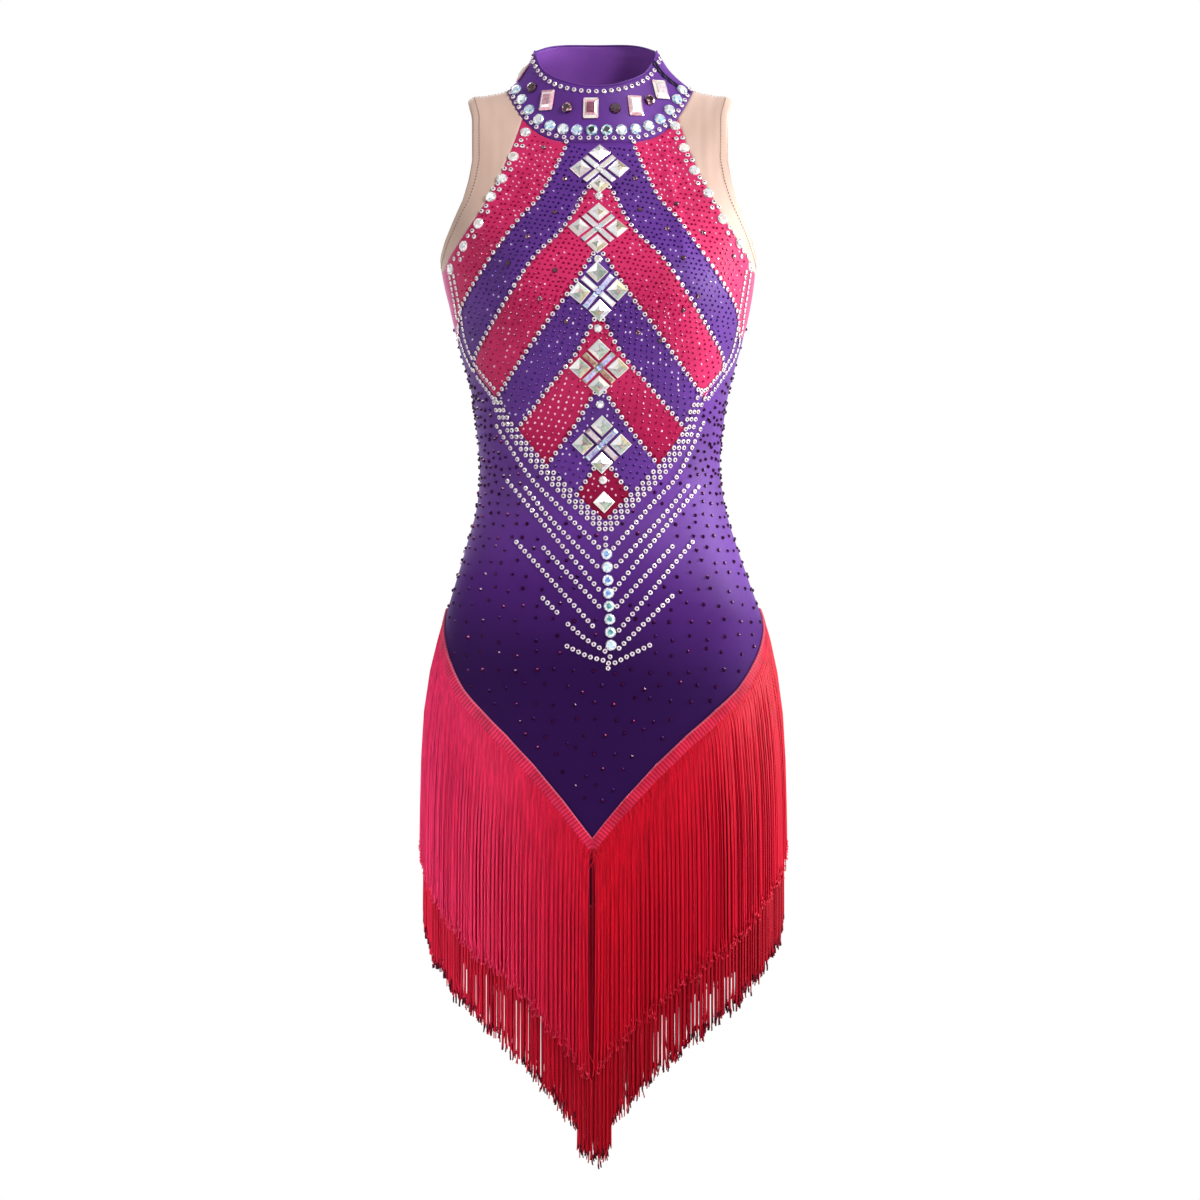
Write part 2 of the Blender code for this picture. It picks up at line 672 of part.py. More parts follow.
def chevron_edge(side):
    """The lower edge of the chevrons, from the side seam to the point at the centre."""
    ends = [(side * math.pi / 2, level_at(CHEVRON_SIDE))]
    ends += [seam[(side + 1) // 2][-1] for seam in SEAMS]
    ends.append(front_spot(centre_x(CHEVRON_POINT), CHEVRON_POINT))
    cells = [SIDE_CELLS] + [CHEVRON_CELLS] * len(CHEVRON_SEAMS)
    return joined(*(between(a, b, n) for a, b, n in zip(ends, ends[1:], cells)))


def make_front_body():
    top = joined(chevron_edge(-1), chevron_edge(1)[::-1])
    last = len(top) - 1
    hem = [hem_spot(math.pi * (i / last - 0.5)) for i in range(last + 1)]
    heights = [COLUMN_TOP - i * COLUMN_PITCH for i in range(COLUMN_STONES)]
    stones = round_stones("column_stones", [front_spot(centre_x(z), z) for z in heights])
    gaps = (SEAM_GAP / 2, 0.0, SEAM_GAP / 2, SEAM_GAP / 2)
    cloth("front_body", ruled(top, hem, BODY_ROWS), PURPLE, gaps, stones)


def make_back_body():
    """The back, ruled across between the insets, then down to its hem. Its rows sag towards the middle."""
    rows = []
    for i, (turn, level) in enumerate(INSET_LINE):
        middle = lerp(COLLAR_SEAM, BACK_MIDDLE_LEVEL, i / INSET_CELLS)
        row = []
        for j in range(BACK_COLUMNS + 1):
            across = j / BACK_COLUMNS
            sag = 4 * across * (1 - across)
            row.append((lerp(math.pi - turn, math.pi + turn, across), lerp(level, middle, sag)))
        rows.append(row)
    hem = [hem_spot(turn) for turn, _ in rows[-1]]
    rows += ruled(rows[-1], hem, BACK_ROWS)[1:]
    gaps = (NECK_GAP / 2, 0.0, SEAM_GAP / 2, SEAM_GAP / 2)
    cloth("back_body", rows, PURPLE, gaps)


# --- Fringe ---
def bridge(bm, first, second, skip=None):
    """Four sides between two rings of four points. skip leaves one side out."""
    for i in range(4):
        if i != skip:
            bm.faces.new((first[i], first[(i + 1) % 4], second[(i + 1) % 4], second[i]))


def fringe_point(turn, z, out):
    return figure_point(turn, level_at(z), out)


def add_lock(bm, corners, turns, tier, number):
    """A four-sided lock that hangs from a strip's lower side."""
    start_z = [hem_z(turn, tier) - STRIP_HEIGHT for turn in turns]
    ragged = RAGGED * math.sin(number * 2.4) * math.sin(number * 0.9)
    from_point = ((turns[0] + turns[1]) / 2 - HEM_POINT_TURN) / TAIL_SPREAD
    tail = tier * TAIL_LENGTH * math.exp(-(from_point**2))
    ring = corners
    for step in LOCK_PATH:
        drop = min(step.drop, FRINGE_LENGTH - STRIP_HEIGHT + ragged + tail)
        out = step.lower_out if tier else step.upper_out
        inner, outer = out - STRIP_THICK / 2, out + STRIP_THICK / 2
        places = ((0, inner), (0, outer), (1, outer), (1, inner))
        lower = [bm.verts.new(fringe_point(turns[k], start_z[k] - drop, reach)) for k, reach in places]
        bridge(bm, ring, lower)
        ring = lower
    bm.faces.new(ring)


def make_fringe(tier, side):
    """One length of trim: a strip round half the figure with its locks, one closed body."""
    bm = bmesh.new()
    step = math.pi / LOCKS
    turns = []
    for i in range(LOCKS):
        middle = (i + 0.5) * step
        turns += [middle - LOCK_WIDTH * step / 2, middle + LOCK_WIDTH * step / 2]
    turns = [side * turn for turn in turns]
    inner, outer = LAID_GAP, LAID_GAP + STRIP_THICK
    sections = []
    for turn in turns:
        top = hem_z(turn, tier)
        low = top - STRIP_HEIGHT
        places = ((low, inner), (low, outer), (top, outer), (top, inner))
        sections.append([bm.verts.new(fringe_point(turn, z, out)) for z, out in places])
    for i, (a, b) in enumerate(zip(sections, sections[1:])):
        bridge(bm, a, b, skip=0 if i % 2 == 0 else None)
        if i % 2 == 0:
            add_lock(bm, (a[0], a[1], b[1], b[0]), (turns[i], turns[i + 1]), tier, i)
    bm.faces.new(sections[0])
    bm.faces.new(sections[-1])
    bmesh.ops.recalc_face_normals(bm, faces=bm.faces)
    name = f"fringe_{('upper', 'lower')[tier]}_{'left' if side > 0 else 'right'}"
    add_object(name, bm, FRINGE)


# --- Loose stones on the front ---
def beside(x, z, across, up):
    """The spot a real distance across and up the cloth from the one marked at (x, z)."""
    frame = seat(*front_spot(x, z), 0.0)
    return front_spot(*marked(frame @ Vector((across, up, 0))))


def clear_lift(spot, reach):
    """How far a flat foot that reaches this far stands off the cloth at a spot, to clear it all round."""
    frame = seat(*spot, 0.0)
    highest = 0.0
    for i in range(FOOT_POINTS):
        angle = 2 * math.pi * i / FOOT_POINTS
        foot = frame @ Vector((reach * math.cos(angle), reach * math.sin(angle), 0))
        below = figure_point(*front_spot(*marked(foot)))
        highest = max(highest, (below - foot).dot(frame.col[2].to_3d()))
    return highest + LAID_GAP + FACET_RISE


def make_pyramid(name, spot):
    bm = bmesh.new()
    corner = PYRAMID_SIDE / math.sqrt(2)
    frame = seat(*spot, clear_lift(spot, corner))
    add_frustum(bm, frame, corner, PYRAMID_TABLE, PYRAMID_RISE, 4)
    add_object(name, bm, CRYSTAL)


def make_cross(name, spot):
    """Four bars on the diagonals, joined to a round stone in the middle."""
    lift = clear_lift(spot, BAR_START + BAR_LENGTH)
    bars = bmesh.new()
    for quarter in range(4):
        frame = seat(*spot, lift + BAR_LIFT, math.radians(45 + 90 * quarter))
        add_block(bars, frame, BAR_WIDTH, BAR_LENGTH, BAR_RISE, BAR_START)
    bm = bmesh.new()
    add_frustum(bm, seat(*spot, lift), CROSS_STONE_RADIUS, CROSS_STONE_TABLE, CROSS_STONE_RISE, 8)
    obj = add_object(name, bm, CRYSTAL)
    union = obj.modifiers.new("Bars", "BOOLEAN")
    union.operation = "UNION"
    union.solver = "EXACT"
    union.object = helper(f"{name}_bars", bars)


def make_crystals():
    places = (("top", 0, 1), ("left", 1, 0), ("bottom", 0, -1), ("right", -1, 0))
    for number, z in enumerate(CLUSTERS, start=1):
        x = centre_x(z)
        make_cross(f"cross_{number}", front_spot(x, z))
        for word, across, up in places:
            spot = beside(x, z, across * PYRAMID_PITCH, up * PYRAMID_PITCH)
            make_pyramid(f"pyramid_{number}_{word}", spot)
    make_pyramid("pyramid_6", front_spot(centre_x(SINGLE_PYRAMID), SINGLE_PYRAMID))


def main():
    for obj in list(bpy.data.objects):
        bpy.data.objects.remove(obj)
    for name in ("dance_dress", "helpers"):
        bpy.context.scene.collection.children.link(bpy.data.collections.new(name))
    make_collar()
    make_insets()
    make_bodice_sides()
    make_chevrons()
    make_front_body()
    make_back_body()
    for tier in (0, 1):
        for side in (1, -1):
            make_fringe(tier, side)
    make_crystals()


if __name__ == "__main__":
    main()
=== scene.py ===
"""Ballroom dance dress: the looks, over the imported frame. Metres, +Z up, the front faces -Y.

Every piece lies on one surface, the figure, as in the part's source. A spot on it is (turn, level): turn
is 0 at the centre front and 90 degrees at the wearer's left side, and level counts down the rings of
FIGURE. A mark is (x, z) in millimetres, as a point of the front looks from straight ahead.
"""

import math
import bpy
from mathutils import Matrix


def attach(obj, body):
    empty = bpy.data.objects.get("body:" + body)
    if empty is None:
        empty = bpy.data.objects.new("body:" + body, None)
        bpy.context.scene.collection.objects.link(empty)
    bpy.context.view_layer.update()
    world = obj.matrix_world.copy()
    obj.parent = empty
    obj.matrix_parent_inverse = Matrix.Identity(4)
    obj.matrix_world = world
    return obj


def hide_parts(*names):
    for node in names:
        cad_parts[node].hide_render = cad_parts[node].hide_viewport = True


bl_info = {
    "name": "Ballroom dance dress",
    "version": (1, 0, 0),
    "blender": (4, 5, 0),
    "location": "3D View > Sidebar > Dance dress",
    "description": "Cloth, fringe and set stones of a ballroom dance dress, on its packed frame",
    "category": "Object",
}

from collections import namedtuple

import bpy
import numpy as np
from bpy.props import FloatProperty, FloatVectorProperty, IntProperty, PointerProperty
from mathutils import Vector
from mathutils.kdtree import KDTree

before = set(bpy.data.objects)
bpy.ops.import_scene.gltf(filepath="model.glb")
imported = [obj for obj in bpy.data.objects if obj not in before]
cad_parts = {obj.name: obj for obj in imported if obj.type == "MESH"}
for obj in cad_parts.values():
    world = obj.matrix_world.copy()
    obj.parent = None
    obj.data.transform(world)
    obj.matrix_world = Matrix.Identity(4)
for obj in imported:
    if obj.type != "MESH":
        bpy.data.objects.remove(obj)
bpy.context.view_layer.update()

# --- Measures, metres ---
MM = 0.001
VIEW_DISTANCE, VIEW_HEIGHT = 4.1, -0.51  # of the eye that the marks are made from
CLOTH = 0.0007  # thickness of the jersey and the net
SEAM_DIP = 0.0005  # how far a panel's edge sinks where it is sewn
LAID_GAP = 0.0003  # under what lies on a panel

# The figure, over the cloth, from the top of the collar down: half_width, side_z, front_depth, front_z,
# back_depth, back_z, centre_x, squareness.
FIGURE = np.array(
    (
        (0.0615, 0.0490, 0.055, 0.0070, 0.055, 0.0615, -0.0045, 2.00),
        (0.0735, 0.0275, 0.062, -0.0170, 0.062, 0.0380, -0.0025, 2.00),
        (0.0935, 0.0092, 0.070, -0.0501, 0.071, 0.0140, 0.0000, 2.00),
        (0.1135, 0.0040, 0.085, -0.0750, 0.085, -0.0180, 0.0000, 2.05),
        (0.1315, -0.0015, 0.101, -0.1050, 0.096, -0.0620, 0.0000, 2.10),
        (0.1500, -0.0390, 0.116, -0.1340, 0.102, -0.1080, 0.0000, 2.15),
        (0.1580, -0.1000, 0.129, -0.1600, 0.104, -0.1450, -0.0010, 2.20),
        (0.1572, -0.1680, 0.137, -0.1850, 0.103, -0.1780, -0.0015, 2.20),
        (0.1490, -0.2120, 0.138, -0.2120, 0.100, -0.2120, 0.0000, 2.20),
        (0.1395, -0.2520, 0.130, -0.2520, 0.095, -0.2520, 0.0000, 2.20),
        (0.1288, -0.2920, 0.115, -0.2920, 0.088, -0.2920, 0.0000, 2.15),
        (0.1228, -0.3320, 0.101, -0.3320, 0.081, -0.3320, 0.0000, 2.10),
        (0.1200, -0.3720, 0.094, -0.3720, 0.077, -0.3720, 0.0000, 2.10),
        (0.1245, -0.4100, 0.093, -0.4100, 0.082, -0.4100, 0.0010, 2.10),
        (0.1350, -0.4450, 0.097, -0.4450, 0.092, -0.4450, 0.0015, 2.15),
        (0.1475, -0.4850, 0.101, -0.4850, 0.104, -0.4850, 0.0025, 2.20),
        (0.1605, -0.5300, 0.104, -0.5300, 0.115, -0.5300, 0.0040, 2.25),
        (0.1690, -0.5900, 0.107, -0.5900, 0.121, -0.5900, 0.0035, 2.25),
        (0.1725, -0.6700, 0.108, -0.6700, 0.121, -0.6700, 0.0035, 2.25),
        (0.1742, -0.7700, 0.108, -0.7700, 0.119, -0.7700, 0.0035, 2.25),
        (0.1742, -0.8900, 0.108, -0.8900, 0.118, -0.8900, 0.0035, 2.25),
        (0.1742, -1.0900, 0.108, -1.0900, 0.118, -1.0900, 0.0035, 2.25),
    )
)
SADDLE = 4
COLLAR_TOP, COLLAR_SEAM, SHOULDER, UNDERARM, LAST_RING = 0, 2, 4, 7, 21
COLLAR_CORNER = 0.45  # share of the collar's rise that its top edge makes close to the sides
CUP_RISE = 0.011
CUP_X, CUP_Z = 0.080, -0.205
CUP_SPREAD_X, CUP_SPREAD_Z = 0.035, 0.050

# Pattern lines, marked from the front in metres. (z, x), (z, half width), or (half width, z).
CENTRE_LINE = ((-0.05, 0.0), (-0.128, -0.002), (-0.267, -0.001), (-0.402, 0.004), (-0.545, 0.011))
INSET_SEAM = (
    (-0.015, 0.0770), (-0.045, 0.0870), (-0.077, 0.1010), (-0.109, 0.1185), (-0.135, 0.1345),
    (-0.158, 0.1485), (-0.170, 0.1530), (-0.176, 0.1565),
)
INSET_SEAM_END = -0.1755
ARMHOLE = (
    (-0.002, 0.1300), (-0.020, 0.1275), (-0.060, 0.1275), (-0.080, 0.1310), (-0.100, 0.1360),
    (-0.120, 0.1440), (-0.140, 0.1515), (-0.155, 0.1555), (-0.167, 0.1570),
)
CHEVRON_SEAMS = (
    (
        (0.0335, -0.0450), (0.0450, -0.0700), (0.0600, -0.0975), (0.0800, -0.1200), (0.1110, -0.1620),
        (0.1360, -0.2050), (0.1400, -0.2400),
    ),
    (
        (0.0000, -0.0760), (0.0140, -0.0920), (0.0235, -0.1100), (0.0385, -0.1320), (0.0710, -0.1655),
        (0.1185, -0.2450), (0.1245, -0.2700),
    ),
    ((0.0, -0.148), (0.0065, -0.156), (0.032, -0.1945), (0.062, -0.2355), (0.104, -0.2985)),
    ((0.0, -0.212), (0.0055, -0.221), (0.0225, -0.2525), (0.045, -0.280), (0.084, -0.329)),
    ((0.0, -0.285), (0.0072, -0.295), (0.0255, -0.324), (0.056, -0.366)),
    ((0.0, -0.355), (0.027, -0.3945)),
)
CHEVRON_POINT = -0.420
CHEVRON_SIDE = -0.2353
CHEVRON_CORNER = (0.1405, -0.24)  # mark of the side seam's end of their lower edge
OFF_THE_DRESS = -9

# Fringe. (degrees from the point of the V, true height of the upper edge).
HEM_LINE = (
    (0, -0.732), (5, -0.713), (10, -0.694), (20, -0.660), (30, -0.6315), (40, -0.608), (50, -0.587),
    (60, -0.5625), (70, -0.541), (80, -0.523), (90, -0.508),
)
HEM_POINT_TURN = math.radians(-3.8)
TURN_REACH = 0.174  # metres round the hips in a radian, by the centre front
BACK_HEM_DEPTH = 0.8
TIER_STEP = 0.067
FRINGE_LENGTH = 0.232
# Under the point of the V, the lower tier hangs longer, to a blunt end.
TAIL_LENGTH = 0.012
TAIL_TURN, TAIL_SPREAD = math.radians(1), math.radians(5.2)
STRIP_HEIGHT = 0.012
STRIP_THICK = 0.0024
STRAND_OUTS = ((0.0060, 0.0075, 0.0090), (0.0022, 0.0036, 0.0050))  # of each layer, upper and lower tier

# Stones.
CLUSTERS = (-0.069, -0.128, -0.191, -0.267, -0.344)
SINGLE_PYRAMID = -0.402
PYRAMID_SIDE, PYRAMID_RISE, PYRAMID_PITCH = 0.0152, 0.0045, 0.0184
BAR_LENGTH, BAR_WIDTH, BAR_RISE, BAR_START = 0.0172, 0.0056, 0.0030, 0.0030
CROSS_STONE = (0.0034, 0.0034, 0.0036)
# Round stones: radius, rise, and how far round them the tiny stones keep off.
INSET_ROUND, BETWEEN_ROUND = (0.0057, 0.0034, 0.0058), (0.0043, 0.0028, 0.0045)
COLUMN_ROUND, COLLAR_ROUND = (0.0056, 0.0034, 0.0058), (0.0061, 0.0032, 0)
COLLAR_DARK_ROUND, DARK_ROUND = (0.0057, 0.0042, 0), (0.0026, 0.0022, 0.0028)
PYRAMID_ROOM, LONE_PYRAMID_ROOM, CROSS_ROOM, BAR_ROOM = 0.0100, 0.0110, 0.0090, 0.004
ALONG_BAR = (0.007, 0.016)  # where on a bar its room is measured from
COLUMN_TOP, COLUMN_PITCH, COLUMN_STONES = -0.454, 0.0130, 8
COLLAR_CLOSE_SHARE = 2 / 3  # of the way from the inset's seam to the side
COLLAR_SLIT = math.radians(2.5)
CLOSE_LEAN = math.radians(11)  # the closing leans forward to its top
COLLAR_FLARE, FLARE_SPREAD = 0.0012, math.radians(25)
COLLAR_ROUNDS, COLLAR_ROUND_LEVEL, COLLAR_ROUND_SPREAD = 16, 1.62, math.radians(74)
# Degrees round from the front, and level.
COLLAR_BAGUETTES = ((-88, 1.05), (-43, 0.95), (-5, 0.95), (31, 0.95), (58, 1.00))
COLLAR_DARK = ((-61, 1.03), (-24, 0.96), (14, 0.96), (44.5, 0.98))
BAGUETTE = (0.0150, 0.0215, 0.0035)

# Cells of the cloth's meshes.
SEAM_CELLS = 72
NECK_CELLS = 10
CHEVRON_CELLS = 10
DIAMOND_CELLS = 20
SIDE_CELLS = 28
INSET_CELLS = 54
INSET_NECK_CELLS = 14
INSET_ACROSS = 24
BODY_ROWS = 90
BACK_COLUMNS = 96
BACK_ROWS = 70
BACK_MIDDLE_LEVEL = 8.2
COLLAR_COLUMNS, COLLAR_ROWS = 220, 18

Seats = namedtuple("Seats", "place across up out")
Cut = namedtuple("Cut", "points faces groups")


# --- Curves and the figure. Spots are rows of (turn, level). ---
def unit(vectors):
    return vectors / np.linalg.norm(vectors, axis=-1, keepdims=True)


def lerp(a, b, t):
    return a + (b - a) * t


def through(rows, place):
    """The rows at these places on a smooth curve through rows (Catmull-Rom)."""
    rows = np.asarray(rows, float)
    last = len(rows) - 1
    padded = np.vstack([2 * rows[:1] - rows[1:2], rows, 2 * rows[-1:] - rows[-2:-1]])
    place = np.asarray(place, float)
    i = np.clip(place.astype(int), 0, last - 1)
    t = (place - i)[..., None]
    a, b, c, d = (padded[i + k] for k in range(4))
    return b + 0.5 * t * (c - a + t * (2 * a - 5 * b + 4 * c - d + t * (3 * (b - c) + d - a)))


def figure(turn, level, out=0.0):
    """Points on the outside of the cloth, moved out level by out."""
    turn, level, out = np.broadcast_arrays(np.asarray(turn, float), level, out)
    ring = through(FIGURE, np.clip(level, COLLAR_TOP, LAST_RING))
    half_width, side_z, front_depth, front_z, back_depth, back_z, centre, power = np.moveaxis(ring, -1, 0)
    sine, cosine = np.sin(turn), np.cos(turn)
    reach = (np.abs(sine) ** power + np.abs(cosine) ** power) ** (-1 / power)
    front = cosine > 0
    x = centre + (half_width + out) * sine * reach
    y = -(np.where(front, front_depth, back_depth) + out) * cosine * reach
    side = np.abs(sine)
    at_top = np.where(front, np.clip(1 - level, 0, 1), 0)
    rise = lerp(side**SADDLE, lerp(side**2, side**12, COLLAR_CORNER), at_top)
    z = lerp(np.where(front, front_z, back_z), side_z, rise)
    from_cup = ((np.abs(x) - CUP_X) / CUP_SPREAD_X) ** 2 + ((z - CUP_Z) / CUP_SPREAD_Z) ** 2
    y = y - np.where(front, CUP_RISE * np.exp(-from_cup) * np.minimum(1, 2 * cosine), 0)
    return np.stack([x, y, z], -1)


def outward(turn, level):
    step = 1e-3
    across = figure(turn + step, level) - figure(turn - step, level)
    down = figure(turn, np.minimum(level + step, LAST_RING)) - figure(turn, np.maximum(level - step, 0))
    return unit(np.cross(down, across))


def at(spots):
    return figure(spots[..., 0], spots[..., 1])


def marks_of(points):
    """(x, z) of points as they are marked from the front, in metres."""
    scale = VIEW_DISTANCE / (VIEW_DISTANCE + points[..., 1])
    return np.stack([points[..., 0] * scale, VIEW_HEIGHT + (points[..., 2] - VIEW_HEIGHT) * scale], -1)


def front_table():
    """Spots all over the front, and a tree of how they are marked, to start a search from."""
    turns, levels = np.meshgrid(np.radians(np.linspace(-89.5, 89.5, 121)), np.linspace(0, LAST_RING, 253))
    spots = np.stack([turns.ravel(), levels.ravel()], -1)
    tree = KDTree(len(spots))
    for i, (x, z) in enumerate(marks_of(at(spots))):
        tree.insert((x, z, 0), i)
    tree.balance()
    return spots, tree


FRONT_SPOTS, FRONT_TREE = front_table()


LEAST_AREA = 1e-7  # keeps a step finite where the cloth is seen edge on
LONGEST_STEP = np.array((0.04, 0.2))


def cross(a, b):
    return a[:, 0] * b[:, 1] - a[:, 1] * b[:, 0]


def from_front(marks, steps=8):
    """The spots on the front that are marked at these places, by Newton's method from the nearest known."""
    marks = np.atleast_2d(np.asarray(marks, float))
    spots = FRONT_SPOTS[[FRONT_TREE.find((x, z, 0))[1] for x, z in marks]].copy()
    small = 1e-4
    for _ in range(steps):
        here = marks_of(at(spots))
        a = (marks_of(at(spots + (small, 0))) - here) / small
        b = (marks_of(at(spots + (0, small))) - here) / small
        miss = marks - here
        area = cross(a, b)
        area = np.where(np.abs(area) < LEAST_AREA, LEAST_AREA, area)
        move = np.stack([cross(miss, b), cross(a, miss)], -1)
        spots += np.clip(move / area[:, None], -LONGEST_STEP, LONGEST_STEP)
        spots = np.clip(spots, (-math.pi / 2, 0), (math.pi / 2, LAST_RING))
    return spots


def solve(gap, low, high, steps=30):
    """Where gap, below zero at low and above it at high, passes zero, for arrays."""
    for _ in range(steps):
        middle = 0.5 * (low + high)
        below = gap(middle) < 0
        low, high = np.where(below, middle, low), np.where(below, high, middle)
    return 0.5 * (low + high)


def level_at(z, turn=math.pi / 2):
    """The level that has this true height."""
    z, turn = np.broadcast_arrays(np.asarray(z, float), turn)
    low = np.zeros(z.shape)
    return solve(lambda level: z - figure(turn, level)[..., 2], low, low + LAST_RING)


def centre_x(z):
    table = CENTRE_LINE[::-1]
    return np.interp(z, [row[0] for row in table], [row[1] for row in table])


def edge_turn(table, levels):
    """The turn on the wearer's left where each level meets an edge given as (z, half width)."""
    rows = np.array(table[::-1])

    def gap(turn):
        mark = marks_of(figure(turn, levels))
        return mark[..., 0] - np.interp(mark[..., 1], rows[:, 0], rows[:, 1])

    return solve(gap, np.zeros(levels.shape), np.full(levels.shape, math.pi / 2))


def lengths(points, axis=0):
    """How far each point is along its line."""
    steps = np.linalg.norm(np.diff(points, axis=axis), axis=-1)
    return np.concatenate([np.zeros_like(steps.take([0], axis)), np.cumsum(steps, axis)], axis)


def evenly(spots, cells):
    """The same line of spots with its points spread evenly along the cloth."""
    along = lengths(at(spots))
    want = np.linspace(0, along[-1], cells + 1)
    return np.stack([np.interp(want, along, spots[:, k]) for k in (0, 1)], -1)


def at_pitch(spots, pitch):
    """Spots on a line, this far apart."""
    return evenly(spots, max(1, round(lengths(at(spots))[-1] / pitch)))


def between(first, last, cells):
    return lerp(np.asarray(first, float), np.asarray(last, float), np.linspace(0, 1, cells + 1)[:, None])


def ruled(first, last, cells):
    return lerp(first[None], last[None], np.linspace(0, 1, cells + 1)[:, None, None])


def joined(*lines):
    """Lines that follow each other, with their shared points once."""
    return np.concatenate([lines[0]] + [line[1:] for line in lines[1:]])


def to_back(spots):
    return np.stack([math.pi - spots[..., 0], spots[..., 1]], -1)


def marked_line(marks):
    """Spots along a smooth line through marks, given in millimetres."""
    marks = np.array(marks) * MM
    if len(marks) > 2:
        marks = through(marks, np.linspace(0, len(marks) - 1, 8 * (len(marks) - 1) + 1))
    else:
        marks = between(*marks, 16)
    return from_front(marks)


def in_mm(marks):
    """The spots on the front of marks in millimetres."""
    return from_front(np.array(marks) * MM)


# --- Pattern lines ---
def chevron_seam(number, side):
    """One side of a chevron seam, from the middle or the collar down. side is 1 on the wearer's left."""
    table = np.array(CHEVRON_SEAMS[number])
    cells = SEAM_CELLS if number == 0 else SEAM_CELLS + NECK_CELLS
    if len(table) > 2:
        table = through(table, np.linspace(0, len(table) - 1, 12 * (len(table) - 1) + 1))
    spots = from_front(np.stack([centre_x(table[:, 1]) + side * table[:, 0], table[:, 1]], -1))
    if len(table) == 2:
        return between(*spots, cells)
    if number == 0:
        spots[0] = side * NECK_MARKS[0], COLLAR_SEAM
    return evenly(spots, cells)


def turn_marked(x, level):
    """The turn on the front half where this level is marked at x."""
    most = np.array(1.5)
    return float(solve(lambda turn: marks_of(figure(turn, level))[..., 0] - x, -most, most))


def inset_seam():
    """The inset's seam on the wearer's left front, from the collar down to the side seam."""
    levels = np.linspace(COLLAR_SEAM, level_at(INSET_SEAM_END), 121)
    spots = np.stack([edge_turn(INSET_SEAM, levels), levels], -1)
    spots[-1, 0] = math.pi / 2
    return evenly(spots, INSET_CELLS)


def armhole_edge():
    """The armhole's front edge on the wearer's left, from the underarm up to the shoulder point."""
    levels = np.linspace(UNDERARM, SHOULDER, 121)
    spots = np.stack([edge_turn(ARMHOLE, levels), levels], -1)
    spots[0, 0] = spots[-1, 0] = math.pi / 2
    return evenly(spots, INSET_CELLS + INSET_NECK_CELLS)


NECK_MARKS = (
    turn_marked(CHEVRON_SEAMS[0][0][0], COLLAR_SEAM),
    float(edge_turn(INSET_SEAM, np.array(float(COLLAR_SEAM)))),
)
COLLAR_CLOSE = lerp(NECK_MARKS[1], math.pi / 2, COLLAR_CLOSE_SHARE)
INSET_LINE = inset_seam()
SEAMS = [{side: chevron_seam(n, side) for side in (-1, 1)} for n in range(len(CHEVRON_SEAMS))]
CHEVRON_LOW = from_front([(centre_x(CHEVRON_POINT), CHEVRON_POINT)])[0]


def whole_chevron(number):
    """A chevron seam from its lower end on the wearer's right, over the middle, to the one on the left."""
    halves = {}
    for side in (-1, 1):
        halves[side] = SEAMS[number][side]
        if number == 0:
            neck = between((0, COLLAR_SEAM), (side * NECK_MARKS[0], COLLAR_SEAM), NECK_CELLS)
            halves[side] = joined(neck, halves[side])
    return joined(halves[-1][::-1], halves[1])


def chevron_edge(side):
    """The lower edge of the chevrons, from the side seam to the point at the centre."""
    ends = [np.array((side * math.pi / 2, level_at(CHEVRON_SIDE)))]
    ends += [seam[side][-1] for seam in SEAMS] + [CHEVRON_LOW]
    cells = [SIDE_CELLS] + [CHEVRON_CELLS] * (len(SEAMS) - 1) + [DIAMOND_CELLS]
    return joined(*(between(a, b, n) for a, b, n in zip(ends, ends[1:], cells)))


def hem_z(turn, tier):
    """Height of a fringe's upper edge. The upper tier is 0, the lower 1."""
    turn = (np.asarray(turn) + math.pi) % math.tau - math.pi
    front = np.abs(turn) <= math.pi / 2
    from_middle = np.where(front, np.abs(turn), math.pi - np.abs(turn))
    shift = HEM_POINT_TURN * (1 - from_middle / (math.pi / 2))
    from_middle = np.where(front, np.abs(turn - shift), from_middle)
    height = np.interp(np.degrees(from_middle), *zip(*HEM_LINE))
    return np.where(front, height, lerp(HEM_LINE[-1][1], height, BACK_HEM_DEPTH)) - tier * TIER_STEP


def hem_line(turns):
    return np.stack([turns, level_at(hem_z(turns, 1) - STRIP_HEIGHT, turns)], -1)


# --- Materials ---
def linear(hex_colour):
    """Linear red, green and blue of an sRGB hex colour."""
    parts = [int(hex_colour[i : i + 2], 16) / 255 for i in (1, 3, 5)]
    return tuple(c / 12.92 if c <= 0.04045 else ((c + 0.055) / 1.055) ** 2.4 for c in parts)


def rgba(colour):
    return (*(linear(colour) if isinstance(colour, str) else tuple(colour)), 1)


def add(tree, kind, inputs=(), **settings):
    """Adds one shader node with its settings. Its inputs, in order or by name, are values or sockets."""
    node = tree.nodes.new("ShaderNode" + kind)
    for name, value in settings.items():
        setattr(node, name, value)
    for name, value in inputs.items() if isinstance(inputs, dict) else enumerate(inputs):
        if isinstance(value, bpy.types.NodeSocket):
            tree.links.new(value, node.inputs[name])
        else:
            node.inputs[name].default_value = value
    return node


def blank(name, **values):
    """A new material with only its shader: (material, node tree, shader, places on it)."""
    material = bpy.data.materials.new(name)
    material.use_nodes = True
    tree = material.node_tree
    shader = tree.nodes["Principled BSDF"]
    for key, value in values.items():
        shader.inputs[key.replace("_", " ")].default_value = value
    return material, tree, shader, add(tree, "TexCoord").outputs


def wear(tree, shader, dye, relief=None, strength=0.3, distance=0.0002):
    """Feeds a shader its colour from a Mix node and, from a relief, its bumps."""
    tree.links.new(dye.outputs[MIX_RESULT], shader.inputs["Base Color"])
    if relief:
        bump = add(tree, "Bump", {"Strength": strength, "Distance": distance, "Height": relief})
        tree.links.new(bump.outputs[0], shader.inputs["Normal"])


